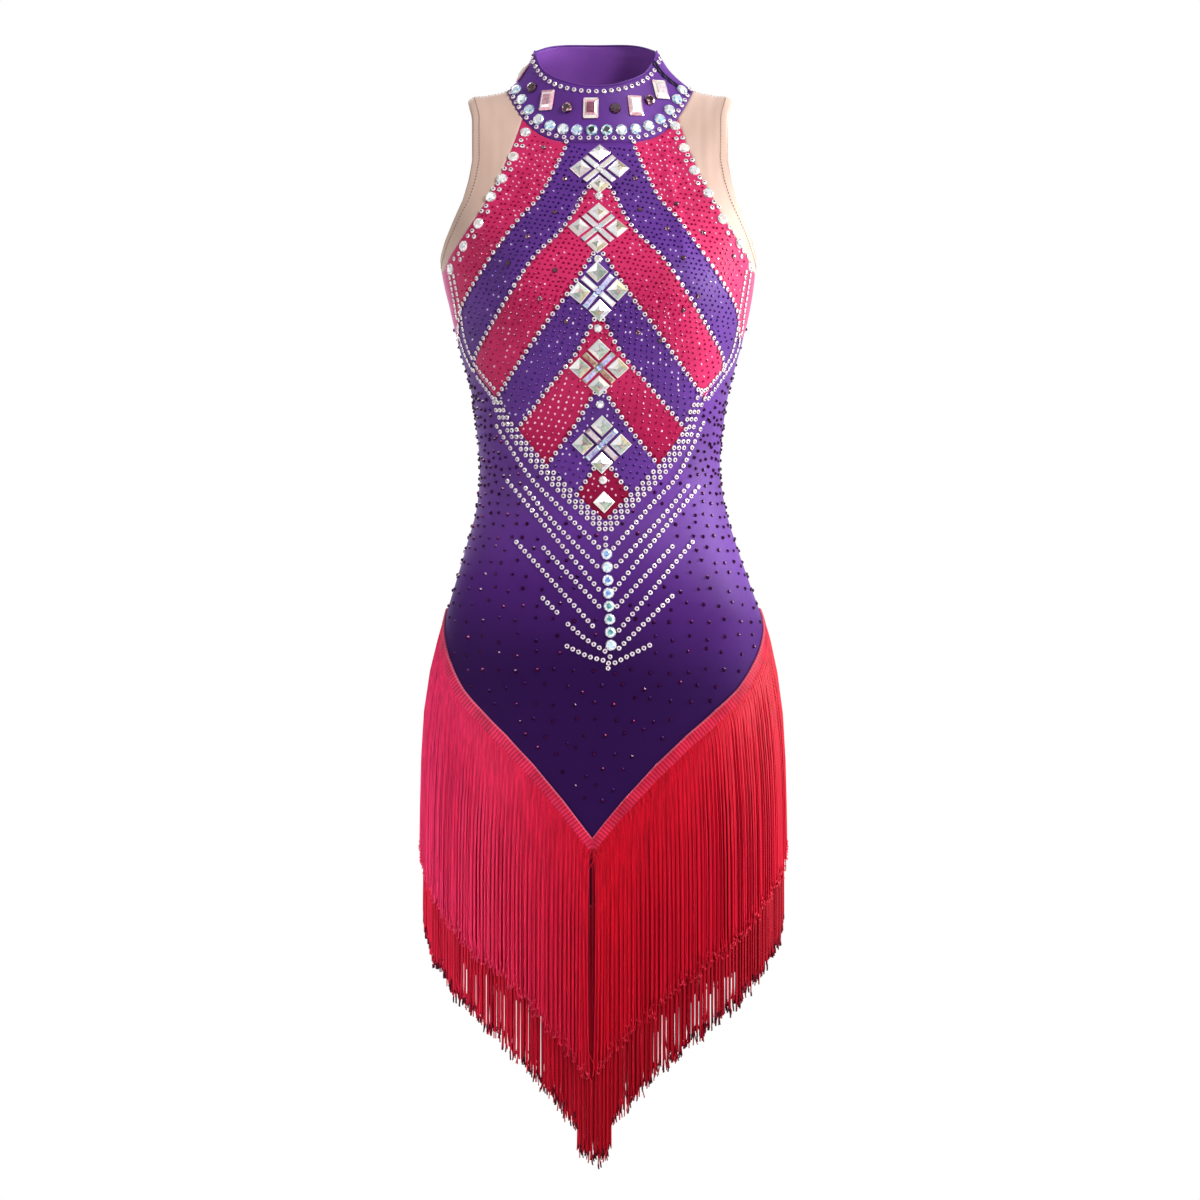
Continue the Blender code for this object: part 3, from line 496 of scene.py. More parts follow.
WAVE = 0.314  # length of one band of a wave texture at scale 1
MIX_FACTOR, MIX_A, MIX_B, MIX_RESULT = 0, 6, 7, 2  # sockets of a colour Mix node
COLOUR = {"data_type": "RGBA"}
MULTIPLIED = {"data_type": "RGBA", "blend_type": "MULTIPLY"}


def stretch_jersey(
    name,
    colour,
    deep,
    low_colour=None,
    low=(-0.38, -0.58),
    tilt=0.3,
    bloom=0.14,
    bloom_tint="#D4B4EC",
    gloss=0.20,
):
    """Nylon and elastane jersey, warp-knitted and dyed: matt satin with a soft bloom at glancing angles.

    Its wales are 0.35 mm apart, too fine to show, so they are drawn four times as coarse. The dye is a
    little uneven, and low_colour is what the cloth turns to between the two heights in low, where it also
    loses its gloss; on the purple, low_colour is a painted shade. Those heights fall by tilt for each metre
    to the wearer's left, which the key light falls on.
    """
    material, tree, shader, place = blank(
        name,
        Roughness=0.52,
        IOR=1.53,
        Sheen_Weight=bloom,
        Sheen_Roughness=0.32,
        Sheen_Tint=rgba(bloom_tint),
        Specular_IOR_Level=gloss,
    )
    broad = add(tree, "TexNoise", {"Vector": place["Object"], "Scale": 14.0, "Detail": 3.0})
    threads = []
    for direction, spacing in (("X", 0.0014), ("Y", 0.0018)):
        inputs = {"Vector": place["UV"], "Scale": WAVE / spacing, "Distortion": 0.8, "Detail": 1.0}
        threads.append(add(tree, "TexWave", inputs, bands_direction=direction).outputs["Fac"])
    knit = add(tree, "Math", threads, operation="MULTIPLY").outputs[0]
    uneven = add(tree, "MapRange", (broad.outputs["Fac"], 0.35, 0.7, 0.0, 0.55))
    shade = add(tree, "Math", (knit, -0.18, uneven.outputs[0]), operation="MULTIPLY_ADD", use_clamp=True)
    dye = add(tree, "Mix", {MIX_FACTOR: shade.outputs[0], MIX_A: rgba(colour), MIX_B: rgba(deep)}, **COLOUR)
    # darker towards the hem: on the purple a painted shade, which starts lower on the lit side
    if low_colour:
        apart = add(tree, "SeparateXYZ", (place["Object"],))
        left = add(tree, "Math", (apart.outputs["X"], 0.0), operation="MAXIMUM")
        height = add(tree, "Math", (left.outputs[0], tilt, apart.outputs["Z"]), operation="MULTIPLY_ADD")
        down = add(tree, "MapRange", (height.outputs[0], *low), interpolation_type="SMOOTHSTEP").outputs[0]
        inputs = {MIX_FACTOR: down, MIX_A: dye.outputs[MIX_RESULT], MIX_B: rgba(low_colour)}
        dye = add(tree, "Mix", inputs, **COLOUR)
        matt = add(tree, "MapRange", (down, 0.0, 0.5, gloss, 0.03))
        tree.links.new(matt.outputs[0], shader.inputs["Specular IOR Level"])
    wear(tree, shader, dye, knit, 0.35)
    return material


def power_net(name, colour, deep):
    """Skin-tone stretch net, knitted in small holes: dull and even, a little darker in its holes.

    Its holes are 0.6 mm apart, too fine to show, and are drawn 1.6 mm apart.
    """
    material, tree, shader, place = blank(
        name, Roughness=0.62, IOR=1.5, Sheen_Weight=0.25, Sheen_Roughness=0.5, Specular_IOR_Level=0.25
    )
    holes = add(tree, "TexVoronoi", {"Vector": place["UV"], "Scale": 1 / 0.0016, "Randomness": 0.25})
    hole = holes.outputs["Distance"]
    broad = add(tree, "TexNoise", {"Vector": place["Object"], "Scale": 22.0, "Detail": 2.0})
    darker = add(tree, "Math", (hole, 0.35, broad.outputs["Fac"]), operation="MULTIPLY_ADD")
    tone = add(tree, "MapRange", (darker.outputs[0], 0.35, 1.0, 0.0, 0.5)).outputs[0]
    dye = add(tree, "Mix", {MIX_FACTOR: tone, MIX_A: rgba(colour), MIX_B: rgba(deep)}, **COLOUR)
    wear(tree, shader, dye, hole)
    return material


def rayon_cord(name, side_colours, stitch=None):
    """Rayon chainette, spun bright, looped and dyed: silky strands that catch light along their length.

    Each strand has its own shade, which changes slowly down it. The colour drifts from pinker on the
    wearer's right to deeper on the left, a painted light on the right and a painted shade on the left:
    side_colours are its colours at those sides and in the middle. Its twist is 0.8 mm long, too fine to
    show, and is drawn twice as long. A header's tape is ribbed at each stitch, with painted shade in the
    grooves between its ribs and a painted highlight along the top edge that it is rolled to.
    """
    material, tree, shader, place = blank(name, Roughness=0.42, IOR=1.47, Specular_IOR_Level=0.10)
    scale = (60, 60, 60) if stitch else (700, 700, 5)
    stretched = add(tree, "Mapping", {"Vector": place["Object"], "Scale": scale}).outputs[0]
    shade = add(tree, "TexNoise", {"Vector": stretched, "Scale": 1.0, "Detail": 1.0}).outputs["Fac"]
    tone = add(tree, "MapRange", (shade, 0.35, 0.70, 0.0, 0.75)).outputs[0]
    # painted light and shade: pinker side_colours on the wearer's right, deeper ones on the left
    apart = add(tree, "SeparateXYZ", (place["Object"],))
    side = add(tree, "MapRange", (apart.outputs["X"], -0.17, 0.17))
    bright = add(tree, "ValToRGB", (side.outputs[0],))
    stops = bright.color_ramp.elements
    stops.new(0.5)
    for stop, colour in zip(stops, side_colours):
        stop.color = rgba(colour)
    inputs = {MIX_FACTOR: tone, MIX_A: bright.outputs[0], MIX_B: (0.55, 0.5, 0.5, 1)}
    dye = add(tree, "Mix", inputs, **MULTIPLIED)
    if stitch:
        ribs = add(tree, "TexWave", {"Vector": place["UV"], "Scale": WAVE / stitch}, bands_direction="X")
        # painted shade: darker in the grooves between the ribs
        groove_shade = add(tree, "MapRange", (ribs.outputs["Fac"], 0.6, 0.1, 0.0, 0.7)).outputs[0]
        inputs = {MIX_FACTOR: groove_shade, MIX_A: dye.outputs[MIX_RESULT], MIX_B: (0.38, 0.22, 0.3, 1)}
        dye = add(tree, "Mix", inputs, **MULTIPLIED)
        parts = add(tree, "SeparateXYZ", (place["UV"],))
        # painted highlight: paler along the rolled top edge
        edge = add(tree, "MapRange", (parts.outputs["Y"], 0.0, 0.0022, 0.32, 0.0)).outputs[0]
        inputs = {MIX_FACTOR: edge, MIX_A: dye.outputs[MIX_RESULT], MIX_B: rgba("#FF9CB4")}
        dye = add(tree, "Mix", inputs, **COLOUR)
    inputs = {"Vector": place["Object"], "Scale": WAVE / 0.0016, "Distortion": 1.0, "Detail": 1.0}
    twist = add(tree, "TexWave", inputs, bands_direction="DIAGONAL")
    wear(tree, shader, dye, twist.outputs["Fac"], 0.3, 0.0003)
    return material


def foiled_glass(name, colour, deep, metallic=0.55, coat=1.0):
    """Lead-free crystal, cut and foiled on the back: each facet is a small tinted mirror under clear glass.

    The coating's tint drifts between two shades over about 3 mm.
    """
    material, tree, shader, place = blank(
        name,
        Roughness=0.14,
        Metallic=metallic,
        IOR=1.54,
        Coat_Weight=coat,
        Specular_IOR_Level=0.5 * coat,
        Coat_Roughness=0.03,
    )
    drift = add(tree, "TexNoise", {"Vector": place["Object"], "Scale": 330.0, "Detail": 1.0})
    tone = add(tree, "MapRange", (drift.outputs["Fac"], 0.4, 0.62)).outputs[0]
    tint = add(tree, "Mix", {MIX_FACTOR: tone, MIX_A: rgba(colour), MIX_B: rgba(deep)}, **COLOUR)
    wear(tree, shader, tint)
    return material


# Tints of the stones: colour, its second shade, and how much of a mirror its foil makes if not the usual.
TINTS = {
    "white": ("#FFFFFF", "#F1F3F8"),
    "pearl": ("#FBF3EA", "#F0E4D8"),
    "blush": ("#FBEAEE", "#EBD2DC"),
    "petal": ("#FFF6FC", "#F8E4F2", 0.15),
    "petal_shade": ("#E8CCE0", "#D2B0CC", 0.15),
    "silver": ("#C4C9CF", "#A8AFB6"),
    "green": ("#A9B8A2", "#8B9C8C"),
    "gold": ("#CDBF98", "#B4A67E"),
    "rose": ("#B9959A", "#96707A"),
    "ice": ("#D8ECF8", "#B4DAE8"),
    "sky": ("#8CB8E8", "#4C7CC8", 0.35),
    "teal": ("#6CBEB8", "#2C7A84", 0.35),
    "lilac": ("#D2CEF4", "#A29CDC"),
    "violet": ("#A9A4E6", "#7A74CC"),
    "copper": ("#B88C74", "#8A5C46"),
    "shadow": ("#5A4A6C", "#3A2C50"),
    "pupil": ("#2A2034", "#1A1224", 0.1),
    "garnet": ("#3A0D24", "#1C0614"),
    "wine": ("#6E1840", "#3C0A22"),
    "pink": ("#F6C2CC", "#E6A0B2"),
    "deep_pink": ("#B86C84", "#8A4A60"),
    "tiny_red": ("#B4124A", "#8A0A36", 0.3),
    "tiny_rose": ("#F88CB8", "#E45088", 0.1),
    "tiny_dark": ("#440A40", "#280428", 0.3),
    "tiny_violet": ("#402478", "#2C1660", 0.3),
    "tiny_purple": ("#6A4AA0", "#50308A", 0.1),
    "tiny_lilac": ("#B49AE0", "#8A6CC4", 0.1),
}
TINY_COAT = 0.12
MATERIALS = {}


def recipes():
    """How each cloth and cord is made: a function, then what it is given."""
    cloth, fringe = settings().cloth, settings().fringe
    return {
        # The purple turns to hip_painted_shade towards the hem: painted shade.
        "purple": (stretch_jersey, "purple_stretch_jersey", cloth.purple, "#44225E", cloth.hip_painted_shade),
        # A lighter purple on the collar's inside: painted light where it is in shade.
        "purple_reverse": (stretch_jersey, "purple_jersey_reverse", "#8A50B4", "#6E3A98"),
        "fuchsia": (
            stretch_jersey, "fuchsia_stretch_jersey", cloth.fuchsia, "#A01444", "#8A143A", (-0.27, -0.43),
            -0.3, 0.95, "#F8C4F6", 0.14,
        ),
        # Near-black, on the rolled ends at the collar's closing: painted shadow in the slit between them.
        "dark_binding": (stretch_jersey, "bound_edge_jersey", "#220C3C", "#160628"),
        "skin": (power_net, "skin_power_net", cloth.skin, "#C8A490"),
        "thread": (power_net, "polyester_sewing_thread", "#8A7466", "#6A574C"),
        "strands": (rayon_cord, "crimson_rayon_chainette", (fringe.pink, fringe.colour, fringe.deep)),
        # The lower tier's strands are deeper than the upper tier's: painted shade under the upper tier.
        "low_strands": (
            rayon_cord,
            "deep_crimson_rayon_chainette",
            (fringe.low_pink, fringe.low_colour, fringe.low_deep),
        ),
        # Darker strands at the back of the parting under the point of the V: painted shade.
        "slit_shade_strands": (rayon_cord, "inner_crimson_rayon_chainette", ("#A81030", "#9A0C26", "#8E0A22")),
        "tips": (rayon_cord, "crimson_rayon_tips", ("#FF4A76", "#FA3A58", "#F03048")),
        "low_tips": (rayon_cord, "deep_crimson_rayon_tips", ("#5C0826", "#54061E", "#4C061C")),
        "header": (rayon_cord, "crimson_rayon_header", ("#F83A6C", "#E42C50", "#D02240"), fringe.stitch),
        # The lower header is darker still: painted shade where it shows in the parting.
        "low_header": (
            rayon_cord, "deep_crimson_rayon_header", ("#C01838", "#A80C24", "#98081E"), fringe.stitch
        ),
    }


def finish(key):
    """The material of this name, made once. A tiny stone has a dull coat."""
    if key not in MATERIALS:
        if key in TINTS:
            coat = TINY_COAT if key.startswith("tiny") else 1.0
            MATERIALS[key] = foiled_glass(f"foiled_glass_{key}", *TINTS[key], coat=coat)
        else:
            make, *given = recipes()[key]
            MATERIALS[key] = make(*given)
    return MATERIALS[key]


# --- Meshes ---
def mesh_object(name, points, faces, finishes, indices=None, smooth=None, uv=None):
    """An object from points and faces, riding on the dress. uv gives each point its place on the cloth.

    smooth holds a value for each face, or one for all.
    """
    mesh = bpy.data.meshes.new(name)
    mesh.from_pydata(np.asarray(points).tolist(), [], faces)
    for key in finishes:
        mesh.materials.append(finish(key))
    if indices is not None:
        mesh.polygons.foreach_set("material_index", np.asarray(indices, np.int32))
    if smooth is not None:
        mesh.polygons.foreach_set("use_smooth", np.zeros(len(faces), bool) | smooth)
    if uv is not None:
        corners = np.empty(len(mesh.loops), np.int32)
        mesh.loops.foreach_get("vertex_index", corners)
        layer = mesh.uv_layers.new(name="cloth")
        layer.uv.foreach_set("vector", np.asarray(uv, np.float32)[corners].ravel())
    mesh.update()
    piece = bpy.data.objects.new(name, mesh)
    bpy.context.scene.collection.objects.link(piece)
    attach(piece, "root")
    return piece


def grid_faces(rows, columns, start=0, flip=False):
    """Quads over a grid of points that are stored row by row."""
    i, j = np.meshgrid(np.arange(rows - 1), np.arange(columns - 1), indexing="ij")
    a = start + i * columns + j
    quads = np.stack([a, a + 1, a + columns + 1, a + columns], -1).reshape(-1, 4)
    return (quads[:, ::-1] if flip else quads).tolist()


def grid_rim(rows, columns):
    """The indices round the edge of a grid, in order."""
    top = np.arange(columns)
    right = np.arange(1, rows) * columns + columns - 1
    low = (rows - 1) * columns + np.arange(columns - 2, -1, -1)
    left = np.arange(rows - 2, 0, -1) * columns
    return np.concatenate([top, right, low, left])


def shell(name, outer, normals, finishes):
    """A closed sheet of cloth: its outside, its inside one thickness in, and its rim.

    A second finish goes on its inside.
    """
    rows, columns = outer.shape[:2]
    count = rows * columns
    inner = outer - CLOTH * normals
    middle = rows // 2, columns // 2
    a, b, c = outer[middle], outer[middle[0], middle[1] + 1], outer[middle[0] + 1, middle[1]]
    flip = float(np.dot(np.cross(b - a, c - a), normals[middle])) < 0
    faces = grid_faces(rows, columns, 0, flip) + grid_faces(rows, columns, count, not flip)
    rim = grid_rim(rows, columns)
    for p, q in zip(rim, np.roll(rim, -1)):
        side = (int(p), int(p + count), int(q + count), int(q))
        faces.append(side[::-1] if flip else side)
    smooth = np.ones(len(faces), bool)
    smooth[-len(rim) :] = False
    indices = np.zeros(len(faces), int)
    if len(finishes) > 1:
        indices[len(faces) // 2 - len(rim) // 2 : -len(rim)] = 1
    along, down = lengths(outer, 1), lengths(outer, 0)
    along = along - along[:, columns // 2][:, None]
    flat = np.stack([along, down], -1).reshape(-1, 2)
    points = np.concatenate([outer.reshape(-1, 3), inner.reshape(-1, 3)])
    return mesh_object(name, points, faces, finishes, indices, smooth, np.concatenate([flat, flat]))


def trim(name, points, faces, key, slot, smooth=True):
    """A piece that is sewn along cloth, in one material."""
    piece = mesh_object(name, points, faces, [key], smooth=smooth)
    return piece


def flat_size(outer):
    """Area, width and length of a grid of points laid flat. The area is that of its quads' triangles."""
    a, b, c, d = outer[:-1, :-1], outer[:-1, 1:], outer[1:, 1:], outer[1:, :-1]
    halves = sum(np.linalg.norm(np.cross(b - end, d - end), axis=-1) for end in (a, c))
    width, length = (float(lengths(outer, axis).take(-1, axis).max()) for axis in (1, 0))
    return float(halves.sum() / 2), width, length


def sewn_edges(rows, columns, sides):
    """How far the cloth sinks at its sewn edges: sides are first row, last row, first and last column."""
    i, j = np.indices((rows, columns))
    sink = np.zeros((rows, columns))
    for sewn, cells in zip(sides, (i, rows - 1 - i, j, columns - 1 - j)):
        if sewn:
            sink = np.maximum(sink, np.interp(cells, (0, 1, 2), (1, 0.25, 0)))
    return -SEAM_DIP * sink


WAVE_HEIGHT = 0.00018
FOLD_LINE = (-0.200, -0.130, -0.090, -0.045), (0.094, 0.0810, 0.0715, 0.0645)  # its z, and its x
FOLD_RISE, FOLD_WIDTH = 0.0016, 0.0050


def lie(turn, level):
    """How far stretched cloth stands off the figure: slow waves under half a millimetre, and one soft fold
    down the bodice on the wearer's left, from the collar towards the side."""
    points = figure(turn, level)
    x, y, z = np.moveaxis(points, -1, 0)
    waves = np.sin(41 * x + 23 * z + 1.3) + np.sin(29 * y - 37 * z) + np.sin(67 * z + 19 * x + 0.6)
    mark_x, mark_z = np.moveaxis(marks_of(points), -1, 0)
    fade = np.clip((mark_z + 0.20) / 0.06, 0, 1) * np.clip((-0.034 - mark_z) / 0.02, 0, 1) * (y < 0)
    from_fold = (mark_x - np.interp(mark_z, *FOLD_LINE)) / FOLD_WIDTH
    return WAVE_HEIGHT * waves + FOLD_RISE * fade * np.exp(-(from_fold**2))


def panel(name, spots, key, sewn=(1, 1, 1, 1), relief=0.0):
    """A cut piece of cloth over a grid of spots. It stands for the CAD node of its name."""
    rows, columns = spots.shape[:2]
    base, normals = at(spots), outward(spots[..., 0], spots[..., 1])
    rise = sewn_edges(rows, columns, sewn) + lie(spots[..., 0], spots[..., 1]) + relief
    outer = base + rise[..., None] * normals
    piece = shell(name + "_cloth", outer, normals, [key])
    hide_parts(name)
    area, *sides = flat_size(outer)


def tube(points, radius, sides=6):
    """Points and faces of a closed tube along a line of points."""
    ahead = unit(np.gradient(points, axis=0))
    side = unit(np.cross(ahead, (0.0, 0.0, 1.0) + 1e-3 * points[:1]))
    up = np.cross(side, ahead)
    angle = np.linspace(0, math.tau, sides, endpoint=False)
    ring = side[:, None] * np.cos(angle)[None, :, None] + up[:, None] * np.sin(angle)[None, :, None]
    verts = (points[:, None] + radius * ring).reshape(-1, 3)
    faces = []
    for i in range(len(points) - 1):
        for k in range(sides):
            a, b = i * sides + k, i * sides + (k + 1) % sides
            faces.append((a, b, b + sides, a + sides))
    faces.append(tuple(range(sides))[::-1])
    faces.append(tuple(range(len(verts) - sides, len(verts))))
    return verts, faces


def join_meshes(parts):
    """Several meshes' points and faces as one."""
    points, faces = np.zeros((0, 3)), []
    for verts, sides in parts:
        faces += [tuple(len(points) + corner for corner in face) for face in sides]
        points = np.concatenate([points, verts])
    return points, faces


# --- Stones ---
def seats(spots, lift=0.0, spin=0.0, upright=False):
    """Frames that stand on the cloth: across, up the figure or upright, and outwards."""
    spots = np.atleast_2d(spots)
    turn, level = spots[:, 0], spots[:, 1]
    out = outward(turn, level)
    rise = figure(turn, level - 0.01) - figure(turn, level + 0.01)
    if upright:
        rise = np.array((0.0, 0.0, 1.0)) + 0 * rise
    across = unit(np.cross(rise, out))
    up = np.cross(out, across)
    cosine, sine = (np.broadcast_to(f(spin), turn.shape)[:, None] for f in (np.cos, np.sin))
    off = np.broadcast_to(lift, turn.shape) + lie(turn, level) * (level > COLLAR_SEAM)
    place = at(spots) + off[:, None] * out
    return Seats(place, cosine * across + sine * up, cosine * up - sine * across, out)


def along_line(spots, lift=0.0):
    """Frames whose second direction follows the line of spots."""
    seat = seats(spots, lift)
    ahead = np.gradient(seat.place, axis=0)
    ahead = unit(ahead - (ahead * seat.out).sum(-1, keepdims=True) * seat.out)
    return Seats(seat.place, np.cross(ahead, seat.out), ahead, seat.out)


def ring_of(count, radius, height, half_step=0.0):
    angle = (np.arange(count) + half_step) * math.tau / count
    return np.stack([radius * np.cos(angle), radius * np.sin(angle), np.full(count, height)], -1)


def round_cut(sides, table=0.45, girdle=0.30, crown=0.75, height=1.0):
    """A round flat-back stone of radius 1: groups are 0 its side, 1 to 3 its facets and 4 its table."""
    points = np.concatenate(
        [
            ring_of(sides, 1.0, 0.0),
            ring_of(sides, 1.0, girdle * height),
            ring_of(sides, (1 + table) / 2 + 0.06, crown * height, 0.5),
            ring_of(sides, table, height),
        ]
    )
    faces, groups = [], []
    for k in range(sides):
        n = (k + 1) % sides
        foot, girdle_k, mid, top = k, sides + k, 2 * sides + k, 3 * sides + k
        faces.append((foot, n, sides + n, girdle_k))
        faces.append((girdle_k, sides + n, mid))
        faces.append((sides + n, 2 * sides + n, mid))
        faces.append((mid, 3 * sides + n, top))
        faces.append((mid, 2 * sides + n, 3 * sides + n))
        groups += [0, 1 + k % 3, 1 + (k + 1) % 3, 1 + (2 * k) % 3, 1 + (k + 2) % 3]
    faces.append(tuple(range(3 * sides, 4 * sides)))
    groups.append(4)
    return Cut(points, faces, np.array(groups))


def ringed_cut(rings, group, table):
    """A stone through rings of as many points each. group numbers a side from its layer and place."""
    count, faces, groups = len(rings[0]), [], []
    for k in range(count):
        n = (k + 1) % count
        for layer in range(len(rings) - 1):
            low = layer * count
            faces.append((low + k, low + n, low + count + n, low + count + k))
            groups.append(group(layer, k))
    points = np.concatenate(rings)
    faces.append(tuple(range(len(points) - count, len(points))))
    return Cut(points, faces, np.array(groups + [table]))


def tiny_cut(sides=6):
    """A tiny flat-back stone: groups are 0 its facets, 1 the facet that faces up, and 2 its table."""
    rings = [ring_of(sides, 1.0, 0.0), ring_of(sides, 0.5, 0.8)]
    return ringed_cut(rings, lambda layer, k: int(k == 0), 2)


def pyramid_cut():
    """A four-sided pointed stone with corners 1 from its middle. Groups are 0 its rim, 1 to 4 its outer
    facets from the upper right round to the lower right, 5 to 8 those nearer its point, and 9 its table."""
    heights = ((1.0, 0.0), (1.0, 0.18), (0.91, 0.27), (0.50, 0.64), (0.12, 1.0))
    rings = [ring_of(4, radius, height) for radius, height in heights]
    return ringed_cut(rings, lambda layer, k: (0, 0, 1 + k, 5 + k)[layer], 9)


def box_cut(inset=0.16, corner=0.0, stepped=False):
    """A bevelled bar, 1 across and 1 long, from its foot's middle. Groups are 0 its side, 1 and 2 its
    bevels in turn, 3 its table and 4 the low steps cut down the table if asked."""

    def outline(shrink, height):
        half = 0.5 - shrink
        cut = half - corner * (1 - shrink)
        if not corner:
            return [(half * x, half * y, height) for x, y in ((1, -1), (1, 1), (-1, 1), (-1, -1))]
        eighth = ((half, -cut), (half, cut), (cut, half), (-cut, half))
        return [(sign * x, sign * y, height) for sign in (1, -1) for x, y in eighth]

    heights = [(0, 0), (0, 0.35), (inset, 0.8), (1.8 * inset, 1.0)][: 4 if stepped else 3]
    rings = [outline(shrink, height) for shrink, height in heights]
    return ringed_cut(rings, lambda layer, k: (0, 1 + k % 2, 4)[layer], 3)


class Stones:
    """Stones gathered into one mesh."""

    def __init__(self):
        self.points, self.faces, self.keys, self.count = [], [], [], 0

    def add(self, cut, seat, size, palettes):
        """One stone at each seat, of a size (across, up, out), with tints from palettes in turn."""
        local = cut.points[None] * np.broadcast_to(size, (len(seat.place), 3))[:, None]
        world = seat.place[:, None] + sum(
            local[..., k : k + 1] * axis[:, None] for k, axis in enumerate((seat.across, seat.up, seat.out))
        )
        self.points.append(world.reshape(-1, 3))
        for i in range(len(world)):
            start = self.count + i * len(cut.points)
            self.faces += [tuple(start + corner for corner in face) for face in cut.faces]
            palette = palettes[i % len(palettes)]
            self.keys += [palette[group] for group in cut.groups]
        self.count += len(world) * len(cut.points)

    def finish(self, name, *nodes):
        used = sorted(set(self.keys))
        indices = [used.index(key) for key in self.keys]
        piece = mesh_object(name, np.concatenate(self.points), self.faces, used, indices)
        if nodes:
            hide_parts(*nodes)
        return piece


def tints(*rows):
    """A tint for each group of a cut's facets, for each stone in turn."""
    return [tuple(row.split()) for row in rows]


ROUND_8, ROUND_10, TINY, PYRAMID = round_cut(8), round_cut(10, table=0.5), tiny_cut(), pyramid_cut()
RING_CUT = round_cut(8, table=0.45, girdle=0.45, crown=0.9)
BAR, BAGUETTE_CUT = box_cut(0.14), box_cut(0.13, 0.06, stepped=True)
# The side of each ring stone is rose, darker than its facets: a painted shadow round its edge.
RING_TINTS = tints(
    "rose petal petal petal pupil",
    "rose petal petal petal_shade pupil",
    "rose petal blush petal pupil",
    "rose petal pearl petal shadow",
)
CLEAR_TINTS = tints(
    "white white pearl silver white", "white pearl white white pearl", "white white silver pearl white"
)
AURORA_TINTS = tints(
    *(f"silver petal ice white {table}" for table in "sky ice sky sky teal teal teal ice".split())
)
COLLAR_TINTS = tints("silver ice sky pearl ice", "silver ice silver white white") * (COLLAR_ROUNDS // 2)
COLLAR_TINTS[6:9] = tints("silver ice white violet ice", *["silver ice white teal pupil"] * 2)
# Their pink facets are painted glints.
GARNET_TINTS = tints("garnet garnet wine garnet garnet", "garnet wine garnet pink garnet")
BAGUETTE_TINTS = tints(
    "deep_pink pearl blush blush white",
    "deep_pink pink pearl pink blush",
    "deep_pink pearl pink deep_pink pink",
    "deep_pink pink pearl pink white",
    "shadow pearl pink blush pearl",
)
TAKEN = []  # (x, z, radius) of every mark that a larger stone takes


def take(spots, radius):
    """Notes the marks of stones, so that tiny ones keep clear of them."""
    for x, z in marks_of(at(np.atleast_2d(spots))):
        TAKEN.append((x, z, radius))


def clear_lift(spots, reach):
    """How far a flat foot that reaches this far stands off the cloth, to clear it all round."""
    seat = seats(spots)
    highest = np.zeros(len(seat.place))
    for angle in np.linspace(0, math.tau, 8, endpoint=False):
        foot = seat.place + reach * (math.cos(angle) * seat.across + math.sin(angle) * seat.up)
        below = at(from_front(marks_of(foot)))
        highest = np.maximum(highest, ((below - foot) * seat.out).sum(-1))
    return highest + LAID_GAP


def beside(spot, across, up):
    """The spot a real distance across and up the cloth from a spot on the front."""
    seat = seats(spot)
    return from_front(marks_of(seat.place + across * seat.across + up * seat.up))


# --- Pieces ---
COLLAR_FOLD = 0.0009
EDGE_RADIUS = 0.0009  # of the collar's rolled top and of its front end
RUFFLE_RADIUS, RUFFLE_WAVE, RUFFLE_LENGTH = 0.0015, 0.0005, 0.0085  # of its back end
CLOSING_OUT = 0.0004
ARMHOLE_EDGE = 0.0008
BESIDE_SEAM = 0.03  # radians from the side seam to its stitches
STITCH_PITCH, STITCH_LIFT = 0.0034, 0.00035
STITCH = (0.0009, 0.0017, 0.0004)
CREASES = ((0.101, 0.0030), (0.1125, 0.0036), (0.121, 0.0045))  # in the net: x at the top, and width
CREASE_DEPTH = 0.0003


def closing_turn(level):
    """The turn of the collar's closing at each level."""
    return COLLAR_CLOSE - CLOSE_LEAN * (1 - (np.asarray(level) / COLLAR_SEAM) ** 2)


def collar_out(turn, level):
    """How far the collar's back end stands out near its closing: most at the top, none at the seam."""
    past = turn - closing_turn(level)
    near = np.where(past > 0, np.maximum(0, 1 - past / FLARE_SPREAD), 0)
    return COLLAR_FLARE * near**2 * (1 - level / COLLAR_SEAM)


def collar_folds(turns, levels):
    """Two short soft folds by the top edge at the back."""
    sunk = 0
    down = (levels - 0.22 - 0.25 * np.sin(3 * turns)) / 0.07
    for middle in (math.radians(148), math.radians(212)):
        sunk = sunk - COLLAR_FOLD * np.exp(-(((turns % math.tau - middle) / 0.28) ** 2 + down**2))
    return sunk


